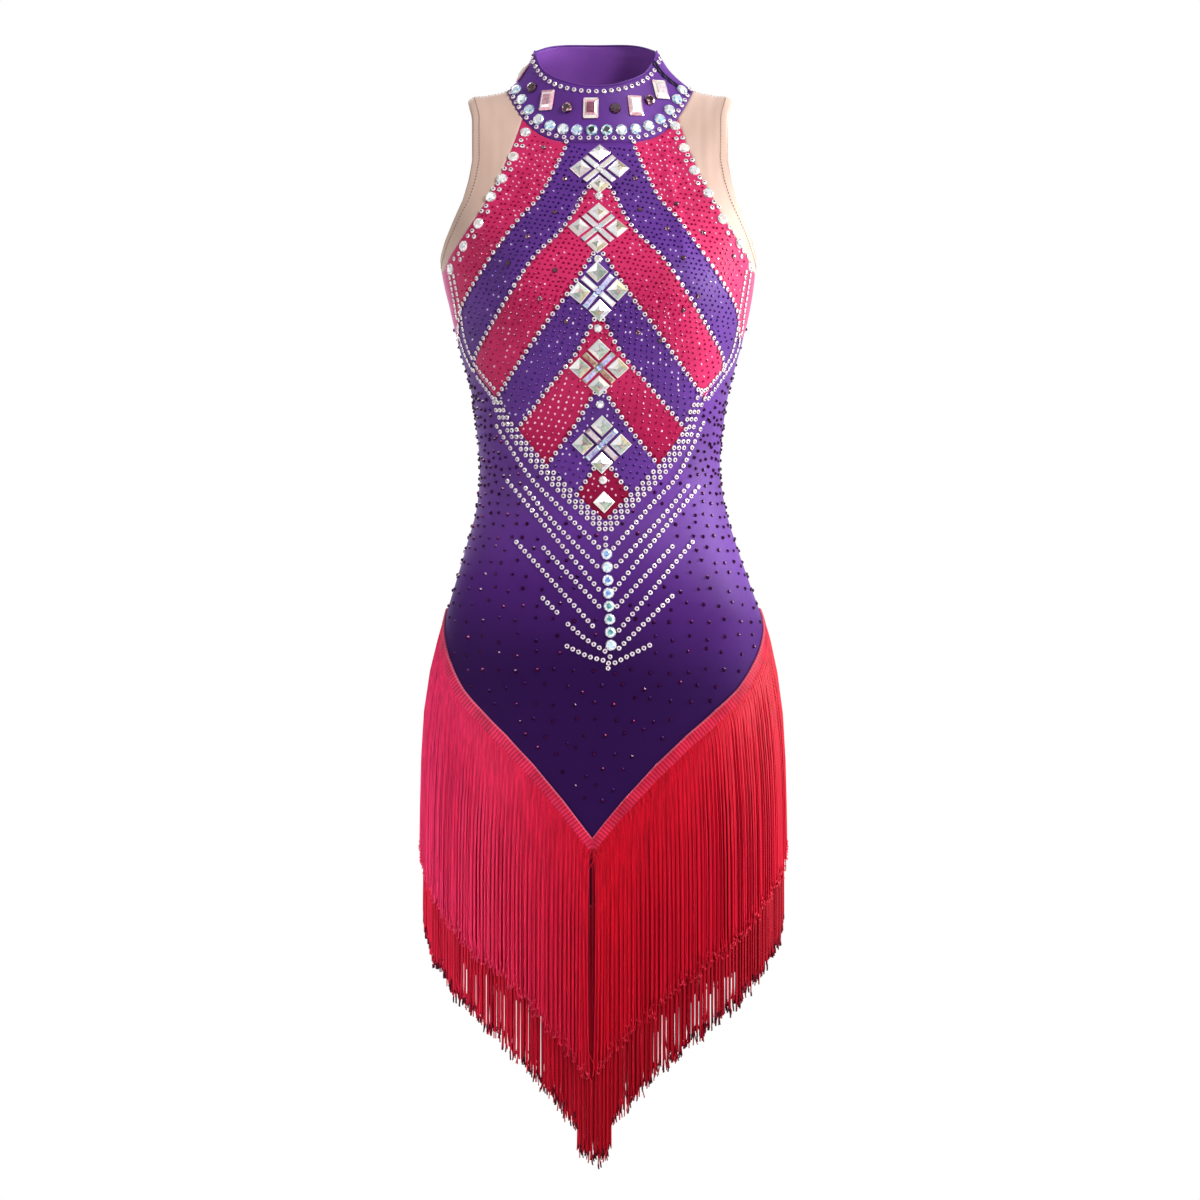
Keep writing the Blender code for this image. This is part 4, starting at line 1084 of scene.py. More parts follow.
def make_collar():
    share = np.linspace(0, 1, COLLAR_COLUMNS + 1)
    levels = np.linspace(COLLAR_SEAM, COLLAR_TOP, COLLAR_ROWS + 1)
    share, levels = np.meshgrid(share, levels)
    turns = closing_turn(levels) + lerp(COLLAR_SLIT, math.tau, share)
    normals = outward(turns, levels)
    base = figure(turns, levels, collar_out(turns, levels))
    rise = sewn_edges(*turns.shape, (1, 0, 0, 0)) + collar_folds(turns, levels)
    outer = base + rise[..., None] * normals
    # The collar's inside takes the lighter purple: painted light where it is in shade.
    collar = shell("collar_cloth", outer, normals, ["purple", "purple_reverse"])
    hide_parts("collar")
    middle = outer - 0.5 * CLOTH * normals
    edge = trim("collar_top_edge", *tube(middle[-1], EDGE_RADIUS, sides=8), "purple", "purple_lycra")
    ends = []
    for column, radius, wave in ((0, EDGE_RADIUS, 0.0), (-1, RUFFLE_RADIUS, RUFFLE_WAVE)):
        line = through(middle[2:, column], np.linspace(0, COLLAR_ROWS - 2, 60))
        ruffle = radius + wave * np.sin(math.tau * lengths(line) / RUFFLE_LENGTH)[:, None, None]
        ends.append(tube(line + CLOSING_OUT * unit(line * (1, 1, 0)), ruffle, sides=8))
    # The rolled front and back ends at the closing are near-black: painted shadow in the slit between them.
    placket = trim("collar_closing_edges", *join_meshes(ends), "dark_binding", "purple_lycra")
    area, width, length = flat_size(outer)


def inset_creases(points, side):
    """Soft upright creases in the net beside the armhole."""
    x, z = np.moveaxis(marks_of(points), -1, 0)
    fade = np.clip((z + 0.10) / 0.03, 0, 1) * np.clip((0.004 - z) / 0.02, 0, 1)
    rise = 0
    for offset, width in CREASES:
        middle = offset + 0.10 * np.maximum(-0.05 - z, 0) ** 1.2
        rise = rise - CREASE_DEPTH * fade * np.exp(-(((side * x - middle) / width) ** 2))
    return rise


def make_insets():
    neck = between((NECK_MARKS[1], COLLAR_SEAM), (math.pi / 2, COLLAR_SEAM), INSET_NECK_CELLS)
    rows = ruled(joined(INSET_LINE[::-1], neck), armhole_edge(), INSET_ACROSS)
    across = lengths(at(rows), 0)
    to_edge = across[-1][None] - across
    hem = settings().cloth.armhole_hem
    doubled = STITCH_LIFT * np.clip((hem + MM - to_edge) / MM, 0, 1)
    thread, edges = Stones(), []

    def stitch(line, lift=0.0):
        thread.add(BAR, along_line(at_pitch(line, STITCH_PITCH), lift), STITCH, [("thread",) * 4])

    for face in ("front", "back"):
        for word, side in (("left", 1), ("right", -1)):
            if face == "front":
                spots, inwards = rows * (side, 1), -side
                relief = doubled + inset_creases(at(spots), side)
            else:
                spots, inwards, relief = to_back(rows) * (side, 1), side, doubled
            name = f"shoulder_{face}_{word}"
            panel(name, spots, "skin", (1, 0, 0, 1), relief)
            edges.append(tube(at(spots[-1]) - 0.5 * CLOTH * outward(*spots[-1].T), ARMHOLE_EDGE))
            columns = zip(-to_edge.T, np.moveaxis(spots, 1, 0))
            fold = [[np.interp(-hem, gap, line) for line in column.T] for gap, column in columns]
            stitch(np.array(fold)[2:-3], STITCH_LIFT)
            stitch(spots[1:-1, -1] + (BESIDE_SEAM * inwards, 0))
    trim("armhole_edges", *join_meshes(edges), "skin", "skin_tulle")
    trim("armhole_stitches", np.concatenate(thread.points), thread.faces, "thread", "skin_tulle", None)


BODY_SEWN = (1, 0, 1, 1)  # every edge but the hem


def make_bodice():
    low = np.array((math.pi / 2, level_at(CHEVRON_SIDE)))
    outer = joined(INSET_LINE, between(INSET_LINE[-1], low, SEAM_CELLS - INSET_CELLS))
    for word, side in (("left", 1), ("right", -1)):
        spots = ruled(SEAMS[0][side], outer * (side, 1), SIDE_CELLS)
        panel(f"bodice_side_{word}", spots, "fuchsia")
    for number in range(len(CHEVRON_SEAMS) - 1):
        colour = ("purple", "fuchsia")[number % 2]
        spots = ruled(whole_chevron(number), whole_chevron(number + 1), CHEVRON_CELLS)
        name = f"chevron_{number + 1}_{colour}"
        panel(name, spots, colour)
    right, left = SEAMS[-1][-1], SEAMS[-1][1]
    upper = between(right[0], left[-1], DIAMOND_CELLS)
    lower = between(right[-1], CHEVRON_LOW, DIAMOND_CELLS)
    spots = ruled(upper, lower, DIAMOND_CELLS)
    panel("chevron_6_fuchsia", spots, "fuchsia")


def make_body():
    top = joined(chevron_edge(-1), chevron_edge(1)[::-1])
    hem = hem_line(np.linspace(-math.pi / 2, math.pi / 2, len(top)))
    spots = ruled(top, hem, BODY_ROWS)
    panel("front_body", spots, "purple", BODY_SEWN)
    share = np.linspace(0, 1, BACK_COLUMNS + 1)
    sag = 4 * share * (1 - share)
    rows = []
    for i, (turn, level) in enumerate(INSET_LINE):
        middle = lerp(COLLAR_SEAM, BACK_MIDDLE_LEVEL, i / INSET_CELLS)
        rows.append(np.stack([lerp(math.pi - turn, math.pi + turn, share), lerp(level, middle, sag)], -1))
    rows = np.array(rows)
    rows = np.concatenate([rows, ruled(rows[-1], hem_line(rows[-1][:, 0]), BACK_ROWS)[1:]])
    panel("back_body", rows, "purple", BODY_SEWN)


# --- Fringe ---
HIP_LEVEL = 17
HEADER_COLUMNS, HEADER_ROWS = 1400, 9
HEADER_BODY, HEADER_ROLL = 0.8, 0.35  # shares of the strip's thickness, and of its body's
RIB_RISE = 0.0006
RAGGED, RAGGED_TOGETHER, RAGGED_LIMITS = 0.0034, 0.0020, (-0.0095, 0.0110)  # of the strands' ends
STRAND_STEPS = np.array((0, 0.03, 0.06, 0.10, 0.24, 0.42, 0.62, 0.80, 0.92, 0.97, 1.0))
STRAND_BEND = np.array((1.0, 0.45, 0.12, 0, 0, 0, 0, 0, 0, 0, 0))
STRAND_CURL = np.array((0, 0, 0, 0, 0, 0, 0, 0, 0, 0.35, 1.0))
STRAND_LEAN = 0.0060  # how far a strand starts to the side of where it hangs
STRAY_SHARE, CURL_SHARE, TIP_SHARE = 0.05, 0.45, 0.55
DRIFT, STRAY, CURL = 0.0020, 0.012, 0.010  # how far strands wander sideways, radians round the hips
UNDER_HEADER = 0.0035
GATHERED = (0.42, 0.16)  # how close to its cord's middle a strand lies at its top, and more at its end
UNEVEN, CORD_ROUND = 0.0004, 0.0005  # in and out: at random, and by a strand's place in its cord
PARTING_TOP, PARTING_LENGTH, PARTING_REACH = 0.012, 0.230, 0.012
SLIT_SHADE_REACH = 0.0075  # how far from the point of the V the innermost upper strands are darker, a painted shade at the back of the parting
LOW_STRAND, LOW_TIP, TIP = 1.12, 1.2, 0.75  # thickness, of an upper strand's
CURLED_TIP = ((0, 0.4, -0.8), (0.2, 0.8, 0.6), (1.1, 1.2, 1.6), (2.0, 1.3, 1.3), (2.3, 1.2, 0.3))
BLUNT_TIP = ((0, 0.1, -3.0), (0.1, 0.2, -1.6), (0.2, 0.3, -0.2), (0.4, 0.3, 1.1), (0.7, 0.3, 2.2))


def slope_at(turns, tier):
    """How steeply a fringe's upper edge rises with the turn, and how far a turn reaches round the hips."""
    step = math.radians(1.5)
    ends = figure(turns + step, HIP_LEVEL) - figure(turns - step, HIP_LEVEL)
    reach = np.linalg.norm(ends[..., :2], axis=-1)
    return (hem_z(turns + step, tier) - hem_z(turns - step, tier)) / reach, reach / (2 * step)


def header_height(turn, tier):
    """Upright height of the header's tape, which is cut square to the slope that it is sewn along."""
    slope, _ = slope_at(turn, tier)
    return settings().fringe.header * np.sqrt(1 + np.minimum(slope**2, 1.0))


def header_mesh(tier, side):
    """The header: a tape ribbed square to its edge, which is rolled. Gives points, faces and places on it.

    Its ribs are 2.2 mm apart, too fine to show, and are drawn half as far apart again.
    """
    turns = side * np.linspace(0, math.pi, HEADER_COLUMNS)
    z = hem_z(turns, tier)
    along = lengths(figure(turns, level_at(z, turns)))
    down = np.linspace(0, 1, HEADER_ROWS)[:, None]
    below = down * header_height(turns, tier)[None]
    body = np.clip(1 - np.abs(2 * down - 1) ** 6, 0, 1) * 0.7 + 0.3
    body = body + HEADER_ROLL * np.exp(-((down / 0.12) ** 2))
    place = along[None] - below * (np.gradient(z) / np.gradient(along))[None]
    ribs = RIB_RISE * np.abs(np.sin(math.pi * place / settings().fringe.stitch)) * (down < 0.93)
    out = LAID_GAP + HEADER_BODY * STRIP_THICK * body + ribs
    turns = np.broadcast_to(turns, below.shape)
    levels = level_at(z[None] - below, turns)
    outer = figure(turns, levels, out)
    inner = figure(turns[[-1, 0]], levels[[-1, 0]], LAID_GAP * 0.5)
    across = np.concatenate([below, below[[-1, 0]]])
    uv = np.stack([np.concatenate([place, place[[-1, 0]]]), across], -1).reshape(-1, 2)
    points = np.concatenate([outer, inner]).reshape(-1, 3)
    faces = grid_faces(HEADER_ROWS + 3, HEADER_COLUMNS, flip=side < 0)
    return points, [tuple(corner % len(points) for corner in face) for face in faces], uv


def from_point(turns):
    """How far a turn is from the point of the V."""
    return np.remainder(turns + math.pi, math.tau) - math.pi - HEM_POINT_TURN


def strand_ends(turns, tier, count, rng):
    """Height of each strand's end: ragged, and level across a blunt tail under the point."""
    ragged = rng.normal(0, RAGGED, count)
    for together in (3, 8):
        ragged = ragged + rng.normal(0, RAGGED_TOGETHER, count)[(np.arange(count) / together).astype(int)]
    ends = hem_z(turns, tier) - FRINGE_LENGTH
    if tier:
        share = np.abs(from_point(turns) - TAIL_TURN) / TAIL_SPREAD
        tail = HEM_LINE[0][1] - TIER_STEP - FRINGE_LENGTH - TAIL_LENGTH + 0.010 * share**2
        ends = np.where(share < 1, np.minimum(ends, tail), ends)
    return ends + np.clip(ragged, *RAGGED_LIMITS)


def parting(turns, z):
    """The strands part under the point of the V."""
    away = from_point(turns) * TURN_REACH
    drop = (HEM_LINE[0][1] - PARTING_TOP - z) / PARTING_LENGTH
    width = settings().fringe.parting * np.sin(math.pi * np.clip(drop, 0, 1) ** 0.7) ** 0.4
    return np.sign(away) * width * np.exp(-((away / PARTING_REACH) ** 2)) / TURN_REACH


def strand_layer(tier, side, layer, rng):
    """Points down each strand of a layer: (strand, step, xyz). They leave the header square to its slope,
    bend to hang, and lie in cords of three."""
    steps = STRAND_STEPS[None]
    count = settings().fringe.strands
    index = np.arange(count) + rng.uniform(0.3, 0.7)
    clump = np.floor((index + layer) / 3) * 3 + 1.5 - layer
    turns, clump_turns = (side * math.pi * place / count for place in (index, clump))
    stray = (rng.random(count) < STRAY_SHARE)[:, None]
    z_end = strand_ends(turns, tier, count, rng)
    z_start = hem_z(turns, tier) - header_height(turns, tier) + UNDER_HEADER
    z = lerp(z_start[:, None], z_end[:, None], steps)
    path = lerp(turns[:, None], clump_turns[:, None], GATHERED[0] + GATHERED[1] * steps**2)
    slope, reach = slope_at(turns, tier)
    path = path + (-STRAND_LEAN * slope / np.sqrt(1 + slope**2) / reach)[:, None] * STRAND_BEND[None]
    path = path + rng.normal(0, DRIFT, (count, 1)) * steps**1.5
    path = path + stray * rng.normal(0, STRAY, (count, 1)) * np.clip(steps - 0.7, 0, 1) * 2
    path = path + (rng.random((count, 1)) < CURL_SHARE) * rng.normal(0, CURL, (count, 1)) * STRAND_CURL
    if layer and not tier:
        path = path + parting(path, z)
    bow = np.sin(math.pi * np.minimum(steps * 1.6, 1) / 2)
    hung = STRAND_OUTS[tier][layer] + rng.normal(0, UNEVEN, (count, 1))
    out = lerp(LAID_GAP + 0.5 * STRIP_THICK, hung, bow)
    out = out - CORD_ROUND * np.abs(index - clump)[:, None]
    out = out + stray * rng.uniform(-0.001, 0.002, (count, 1)) * steps
    return figure(path, level_at(z, path), out)


def round_hips(points):
    """Level directions at points: along the hips, and outwards."""
    turn = np.arctan2(points[..., 0], -points[..., 1])
    sine, cosine, level = np.sin(turn), np.cos(turn), 0 * turn
    return np.stack([cosine, sine, level], -1), np.stack([sine, -cosine, level], -1)


def strand_mesh(paths, radius, rng):
    """Points and faces of three-sided strands along their paths."""
    count, steps = paths.shape[:2]
    side, out = round_hips(paths)
    thick = radius * rng.uniform(0.85, 1.15, (count, 1)) * np.linspace(1.0, 0.85, steps)[None]
    corners = []
    for angle in (math.radians(90), math.radians(210), math.radians(330)):
        reach = [(thick * turned)[..., None] for turned in (math.cos(angle), math.sin(angle))]
        corners.append(paths + reach[0] * side + reach[1] * out)
    points = np.stack(corners, 2).reshape(-1, 3)
    first = (np.arange(count) * steps * 3)[:, None, None] + (np.arange(steps - 1) * 3)[None, :, None]
    k, n = np.arange(3)[None, None], np.array((1, 2, 0))[None, None]
    quads = np.stack([first + k, first + n, first + 3 + n, first + 3 + k], -1).reshape(-1, 4)
    ends = (np.arange(count) * steps * 3)[:, None] + 3 * (steps - 1) + np.array((2, 1, 0))
    return points, quads[:, ::-1].tolist() + ends.tolist()


def tip_paths(paths, shape, rng):
    """Short ends on some strands. A shape gives mm across, outwards and down from a strand's end."""
    ends = paths[rng.random(len(paths)) < TIP_SHARE, -1]
    side, out = round_hips(ends)
    size = (rng.uniform(0.7, 1.3, len(ends)) * np.sign(rng.random(len(ends)) - 0.5))[:, None]
    up, tips = np.array((0, 0, 1.0)), []
    for across, outwards, down in shape:
        step = across * size * side + outwards * np.abs(size) * out - down * np.abs(size) * up
        tips.append(ends + MM * step)
    return np.stack(tips, 1)


def make_fringe():
    rng = np.random.default_rng(11)
    radius = settings().fringe.strand_radius
    for tier, tier_word in enumerate(("upper", "lower")):
        keys = [word if tier == 0 else "low_" + word for word in ("header", "strands", "tips")]
        keys += ["slit_shade_strands"] * (tier == 0)
        thick, tip_thick, shape = (LOW_STRAND, LOW_TIP, BLUNT_TIP) if tier else (1, TIP, CURLED_TIP)
        for word, side in (("left", 1), ("right", -1)):
            header = header_mesh(tier, side)
            meshes, finishes = [header[:2]], [0]
            layers = [strand_layer(tier, side, layer, rng) for layer in range(3)]
            for layer, paths in enumerate(layers):
                from_middle = np.abs(paths[:, 4, 0] - figure(HEM_POINT_TURN, HIP_LEVEL)[0])
                # painted shade: the innermost upper strands by the point of the V take the darker material
                inner = (from_middle < SLIT_SHADE_REACH) & (paths[:, 4, 1] < 0) & (tier == 0) & (layer == 0)
                for chosen, number in ((~inner, 1), (inner, 3)):
                    if chosen.any():
                        meshes.append(strand_mesh(paths[chosen], radius * thick, rng))
                        finishes.append(number)
                if layer:
                    meshes.append(strand_mesh(tip_paths(paths, shape, rng), tip_thick * radius, rng))
                    finishes.append(2)
            points, faces = join_meshes(meshes)
            indices = [number for number, (_, sides) in zip(finishes, meshes) for _ in sides]
            uv = np.zeros((len(points), 2))
            uv[: len(header[2])] = header[2]
            name = f"fringe_{tier_word}_{word}"
            piece = mesh_object(name + "_cords", points, faces, keys, indices, True, uv)
            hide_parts(name)


# --- Set stones ---
MILKY_CLUSTERS = 2  # the rest are silvery
# The pyramids of a cluster, and then its bars: those that run up to the wearer's right and to the left.
# The upper left outer facet of each pyramid is white, a painted reflection; the others are tinted pearl,
# gold, green or rose.
MILKY_TINTS = tints(
    "blush pearl white white pearl white white blush gold gold",
    "blush white white pearl blush pearl white silver pearl gold",
    "blush blush white pearl gold white pearl green pearl rose",
    "blush gold white white pearl green pearl white gold rose",
)
SILVERY_TINTS = tints(
    "pearl silver white pearl green green white silver green rose",
    "pearl green white silver gold rose pearl green green rose",
    "pearl pearl white green silver green silver gold rose rose",
    "pearl gold white silver green green pearl green rose rose",
)
BAR_TINTS = tints(
    "silver white blush white", "silver white pearl pearl", "silver white blush white",
    "silver white ice pearl", "silver white blush white", "silver white ice lilac",
    "rose pearl gold copper", "silver white green lilac", "rose white rose blush", "silver white ice lilac",
)
CROSS_TINTS = tints("silver lilac ice violet lilac")
WORDS, PLACES = ("top", "left", "bottom", "right"), ((0, 1), (-1, 0), (0, -1), (1, 0))


def make_clusters():
    """Pyramid stones in fours round a cross of bars, down the centre line, and one alone below them."""
    pyramids, bars = Stones(), Stones()

    def set_pyramid(spot, tint, room):
        corner = PYRAMID_SIDE / math.sqrt(2)
        pyramids.add(PYRAMID, seats(spot, clear_lift(spot, corner)), (corner, corner, PYRAMID_RISE), [tint])
        take(spot, room)

    for number, z in enumerate(CLUSTERS):
        middle = from_front([(centre_x(z), z)])
        milky = number < MILKY_CLUSTERS
        for (across, up), tint in zip(PLACES, MILKY_TINTS if milky else SILVERY_TINTS):
            set_pyramid(beside(middle, across * PYRAMID_PITCH, up * PYRAMID_PITCH), tint, PYRAMID_ROOM)
        lift = clear_lift(middle, BAR_START + BAR_LENGTH)
        for quarter in range(4):
            angle = math.radians(45 + 90 * quarter)
            seat = seats(middle, lift, angle)
            seat = seat._replace(place=seat.place + (BAR_START + BAR_LENGTH / 2) * seat.up)
            bars.add(BAR, seat, (BAR_WIDTH, BAR_LENGTH, BAR_RISE), [BAR_TINTS[2 * number + quarter % 2]])
            for along in ALONG_BAR:
                take(beside(middle, -along * math.sin(angle), along * math.cos(angle)), BAR_ROOM)
        bars.add(ROUND_8, seats(middle, lift), CROSS_STONE, CLEAR_TINTS[:1] if milky else CROSS_TINTS)
        take(middle, CROSS_ROOM)
    lone = from_front([(centre_x(SINGLE_PYRAMID), SINGLE_PYRAMID)])
    set_pyramid(lone, SILVERY_TINTS[0], LONE_PYRAMID_ROOM)
    numbers = range(1, len(CLUSTERS) + 1)
    names = (f"pyramid_{n}_{word}" for n in numbers for word in WORDS)
    pyramids.finish("pyramid_crystals", *names, "pyramid_6")
    bars.finish("cross_bar_crystals", *(f"cross_{n}" for n in numbers))


# Marks in mm, of the wearer's right and left.
INSET_ROUNDS = {
    -1: ((-74.5, -32.5), (-86.5, -57), (-98, -79), (-109, -97), (-121, -123.5), (-136, -146), (-149, -169)),
    1: ((75, -26), (84, -48), (94, -70.5), (108, -93), (122, -119), (139, -143), (150, -166)),
}
BETWEEN_CLUSTERS = ((-1, -96), (-2, -159), (-2, -228), (0, -304), (3, -380))
COLUMN_SMALL = ((5.6, -438), (5.6, -445), (10, -556.5), (8.6, -563), (8, -568))


def set_rounds(stones, cut, spots, size, palettes, rng=None):
    """Round stones, turned at random if there is an rng."""
    radius, rise, room = size
    spin = rng.uniform(0, 1, len(spots)) if rng else 0.0
    stones.add(cut, seats(spots, spin=spin), (radius, radius, rise), palettes)
    if room:
        take(spots, room)


def make_large_stones():
    """The round stones on the collar, down the inset seams and the centre, and the collar's baguettes."""
    stones = Stones()
    rng = np.random.default_rng(5)
    for marks in INSET_ROUNDS.values():
        set_rounds(stones, ROUND_10, in_mm(marks), INSET_ROUND, CLEAR_TINTS, rng)
    set_rounds(stones, ROUND_8, in_mm(BETWEEN_CLUSTERS), BETWEEN_ROUND, CLEAR_TINTS)
    z = COLUMN_TOP - COLUMN_PITCH * np.arange(COLUMN_STONES)
    spots = from_front(np.stack([centre_x(z), z], -1))
    set_rounds(stones, ROUND_10, spots, COLUMN_ROUND, AURORA_TINTS, rng)
    turns = np.linspace(-COLLAR_ROUND_SPREAD, COLLAR_ROUND_SPREAD, COLLAR_ROUNDS)
    spots = np.stack([turns, np.full(COLLAR_ROUNDS, COLLAR_ROUND_LEVEL)], -1)
    set_rounds(stones, ROUND_10, spots, COLLAR_ROUND, COLLAR_TINTS, rng)
    dark, long = (np.array(places) * (math.radians(1), 1) for places in (COLLAR_DARK, COLLAR_BAGUETTES))
    set_rounds(stones, ROUND_10, dark, COLLAR_DARK_ROUND, GARNET_TINTS, rng)
    stones.add(BAGUETTE_CUT, seats(long, upright=True), BAGUETTE, BAGUETTE_TINTS)
    stones.finish("large_crystals")


# Marks in mm. Rows of ring stones over the hips, each from its outer end to the centre.
V_ROWS = (
    ((-102.4, -326), (-72, -374), (-42.4, -405), (-1.4, -447)),
    ((103, -323), (78, -374), (51, -405), (13.4, -448)), ((-74, -388), (-49, -419), (-3, -466)),
    ((87, -386), (60, -419), (16, -466)), ((-92, -381), (-1.4, -489)), ((97.6, -387), (14.7, -489)),
    ((-56, -448), (-1, -506)), ((72, -446.5), (17, -506)), ((-83, -442), (-7.4, -525.6)),
    ((92, -442), (19, -530)), ((-57, -498), (-43, -512)), ((-32, -524), (-14, -539), (5, -551)),
    ((72, -496), (19, -548)), ((-33, -546), (-12, -556), (3, -560)), ((49.5, -545), (15, -562.5)),
)
SIDE_ROWS = (
    ((-151, -172), (-143, -214), (-139, -240), (-128, -268), (-107, -297)),
    ((-146, -176), (-138.5, -214), (-134, -240), (-123, -266), (-102, -292)),
    ((151, -170), (144, -210), (140, -236), (132, -262), (108, -298)),
    ((146, -172), (139, -210), (135, -238), (127, -262), (103, -293)),
)
# The middle one of the three rows under the chevrons, on the wearer's right and left.
EDGE_ROWS = {
    -1: (
        (-102, -302), (-98, -313.5), (-91, -325), (-74.5, -347.5), (-54.7, -369.8), (-34, -392),
        (-17, -408.3), (-0.3, -423.8), (5.2, -428.8),
    ),
    1: (
        (103.8, -290), (97.5, -303.8), (91.9, -316), (84.5, -338.5), (66.9, -362.3), (46.6, -385),
        (25, -407), (10.6, -423.2), (5.2, -428.8),
    ),
}
EDGE_ROW_APART = 0.0061  # level with each other
EDGE_ROW_PITCH, V_ROW_PITCH, SIDE_ROW_PITCH = 0.0078, 0.0068, 0.0058
BESIDE_ROUNDS = ((1.5, 4.0), (-3.0, -1.0), (3.2, -1.8))  # mm from the middle between two, inwards and up
COLLAR_ROWS_AT = ((0.24, 0.0074), (1.86, 0.0082))  # level and pitch of the rows round the collar
ROW_START, ROW_END, LINE_STEPS = 0.05, 0.07, 200  # radians that they keep from the closing
POINT_STONE = (0.0048, -0.4228)
LEAST_APART = 0.0036
RING_RISE = 0.0017


def make_ring_stones():
    """Small white stones with a dark middle, in lines along the seams and in Vs over the hips."""
    sizes = settings().stones
    lines = [at_pitch(seam[side], sizes.ring_pitch) for seam in SEAMS for side in (-1, 1)]
    lines = [line[1:] if number > 1 else line for number, line in enumerate(lines)]
    lines += [at_pitch(marked_line(row), V_ROW_PITCH) for row in V_ROWS]
    lines += [at_pitch(marked_line(row), SIDE_ROW_PITCH) for row in SIDE_ROWS]
    for marks in EDGE_ROWS.values():
        middle = marks_of(at(at_pitch(marked_line(marks), EDGE_ROW_PITCH)))
        narrow = np.interp(np.abs(middle[:, 0]), (0.060, 0.105), (1.0, 0.55))
        for shift in (-EDGE_ROW_APART, 0, EDGE_ROW_APART):
            lines.append(from_front(middle + np.stack([shift * narrow, 0 * narrow], -1)))
    lines.append(from_front([POINT_STONE]))
    for side, marks in INSET_ROUNDS.items():
        middles = (np.array(marks[1:]) + np.array(marks[:-1])) / 2
        lines += [from_front((middles + np.array(shift) * (-side, 1)) * MM) for shift in BESIDE_ROUNDS]
    lines.append(in_mm(COLUMN_SMALL))
    for level, pitch in COLLAR_ROWS_AT:
        turns = closing_turn(level) + np.linspace(COLLAR_SLIT + ROW_START, math.tau - ROW_END, LINE_STEPS)
        lines.append(at_pitch(np.stack([turns, np.full(LINE_STEPS, level)], -1), pitch))
    spots = np.concatenate(lines)
    spots = spots[apart_from_others(spots, LEAST_APART)]
    rng = np.random.default_rng(3)
    radius = 0.5 * sizes.ring_diameter
    out = collar_out(spots[:, 0], spots[:, 1]) * (spots[:, 1] < COLLAR_SEAM)
    seat = seats(spots, lift=out, spin=rng.uniform(0, 1, len(spots)))
    palettes = [RING_TINTS[i] for i in rng.integers(0, 4, len(spots))]
    stones = Stones()
    stones.add(RING_CUT, seat, (radius, radius, RING_RISE), palettes)
    stones.finish("ring_crystals")
    take(spots, radius)


def apart_from_others(spots, distance):
    """Which spots to keep so that no two stand closer than this."""
    tree = KDTree(len(spots))
    points = at(spots)
    for i, point in enumerate(points):
        tree.insert(point, i)
    tree.balance()
    kept = np.ones(len(spots), bool)
    for i, point in enumerate(points):
        if kept[i]:
            for _, other, _ in tree.find_range(point, distance):
                if other > i:
                    kept[other] = False
    return kept


def band_of(marks):
    """For each mark in metres, how many chevron seams lie above it, or -1 off the bodice."""
    half = np.abs(marks[:, 0] - centre_x(marks[:, 1]))
    band = np.zeros(len(marks), int)
    for table in CHEVRON_SEAMS:
        band += marks[:, 1] < np.interp(half, *zip(*table), right=OFF_THE_DRESS)
    band[(half < CHEVRON_SEAMS[0][0][0]) & (band == 0)] = 1
    edge = marks_of(at(np.array([seam[1][-1] for seam in SEAMS])))
    edge = np.vstack([(centre_x(CHEVRON_POINT), CHEVRON_POINT), edge[::-1], CHEVRON_CORNER])
    edge[:, 0] -= centre_x(edge[:, 1])
    return np.where(marks[:, 1] < np.interp(half, edge[:, 0], edge[:, 1]), -1, band)


def clear_of_taken(marks, gap):
    taken = np.array(TAKEN)
    far = np.linalg.norm(marks[:, None] - taken[None, :, :2], axis=-1) - taken[None, :, 2]
    return far.min(1) > gap


# Marks in mm of the single dark stones on the bands.
DARK_ROUNDS = (
    (-35, -79), (-45, -112), (-72, -137), (-91.5, -163), (-56, -47.5), (-45, -170), (-60, -198),
    (-34, -221), (35, -78.7), (40, -109.5), (67, -128.7), (83, -157.8), (103, -132.5), (76, -104.7),
    (133.5, -156), (83.5, -209.7), (98, -196), (60, -240), (38, -232),
)
# Their pink facets are painted glints.
DARK_TINTS = tints("tiny_dark wine garnet pink garnet", "tiny_dark garnet wine garnet wine")
# Of the fuchsia bands, the purple ones and the hips. The second tint, of the facet that faces up, is mostly
# lighter: a painted glint. The last row of a band's is its bright one, a painted highlight over the stone.
RED_TINTS = tints(
    "tiny_red tiny_red tiny_red", "tiny_red tiny_rose tiny_red", "tiny_red petal tiny_red",
    "tiny_rose petal petal",
)
VIOLET_TINTS = tints(
    "tiny_violet tiny_purple tiny_violet",
    "tiny_violet tiny_lilac tiny_dark",
    "tiny_violet tiny_lilac tiny_violet",
    "tiny_lilac petal petal",
)
HIP_TINTS = tints(
    "tiny_dark tiny_dark tiny_dark",
    "tiny_dark tiny_purple tiny_dark",
    "tiny_dark petal tiny_dark",
    "tiny_dark tiny_rose tiny_dark",
)
BAND_WEIGHTS, HIP_WEIGHTS = (0.36, 0.30, 0.24, 0.10), (0.38, 0.40, 0.12, 0.10)
PAINTED_GLINT_LOW, PAINTED_GLINT_HIGH = 0.85, 0.55  # share of stones with painted highlights low on the bodice's right, and high up, where they catch the light
PAINTED_GLINT_ON_PURPLE = 0.45  # of that share
TINY_TOP, TINY_REACH, TINY_JITTER = -0.012, 0.158, 0.0005
TINY_LEAN = 0.16  # how far a row over the bodice falls in each metre to the wearer's left
TINY_ROW_STEP, HIP_ROW_STEP = 0.92, 0.85  # of the pitch
TINY_FROM_SEAM, TINY_FROM_COLLAR, TINY_FROM_STONES = 0.003, 0.12, 0.0008  # metres, levels, metres
HIP_FROM_HEM, HIP_FROM_STONES = 0.010, 0.0030
HIP_JITTER = (0.011, 0.040)  # turn and level
HIP_SIZE = 1.5  # of a tiny stone's on the bodice


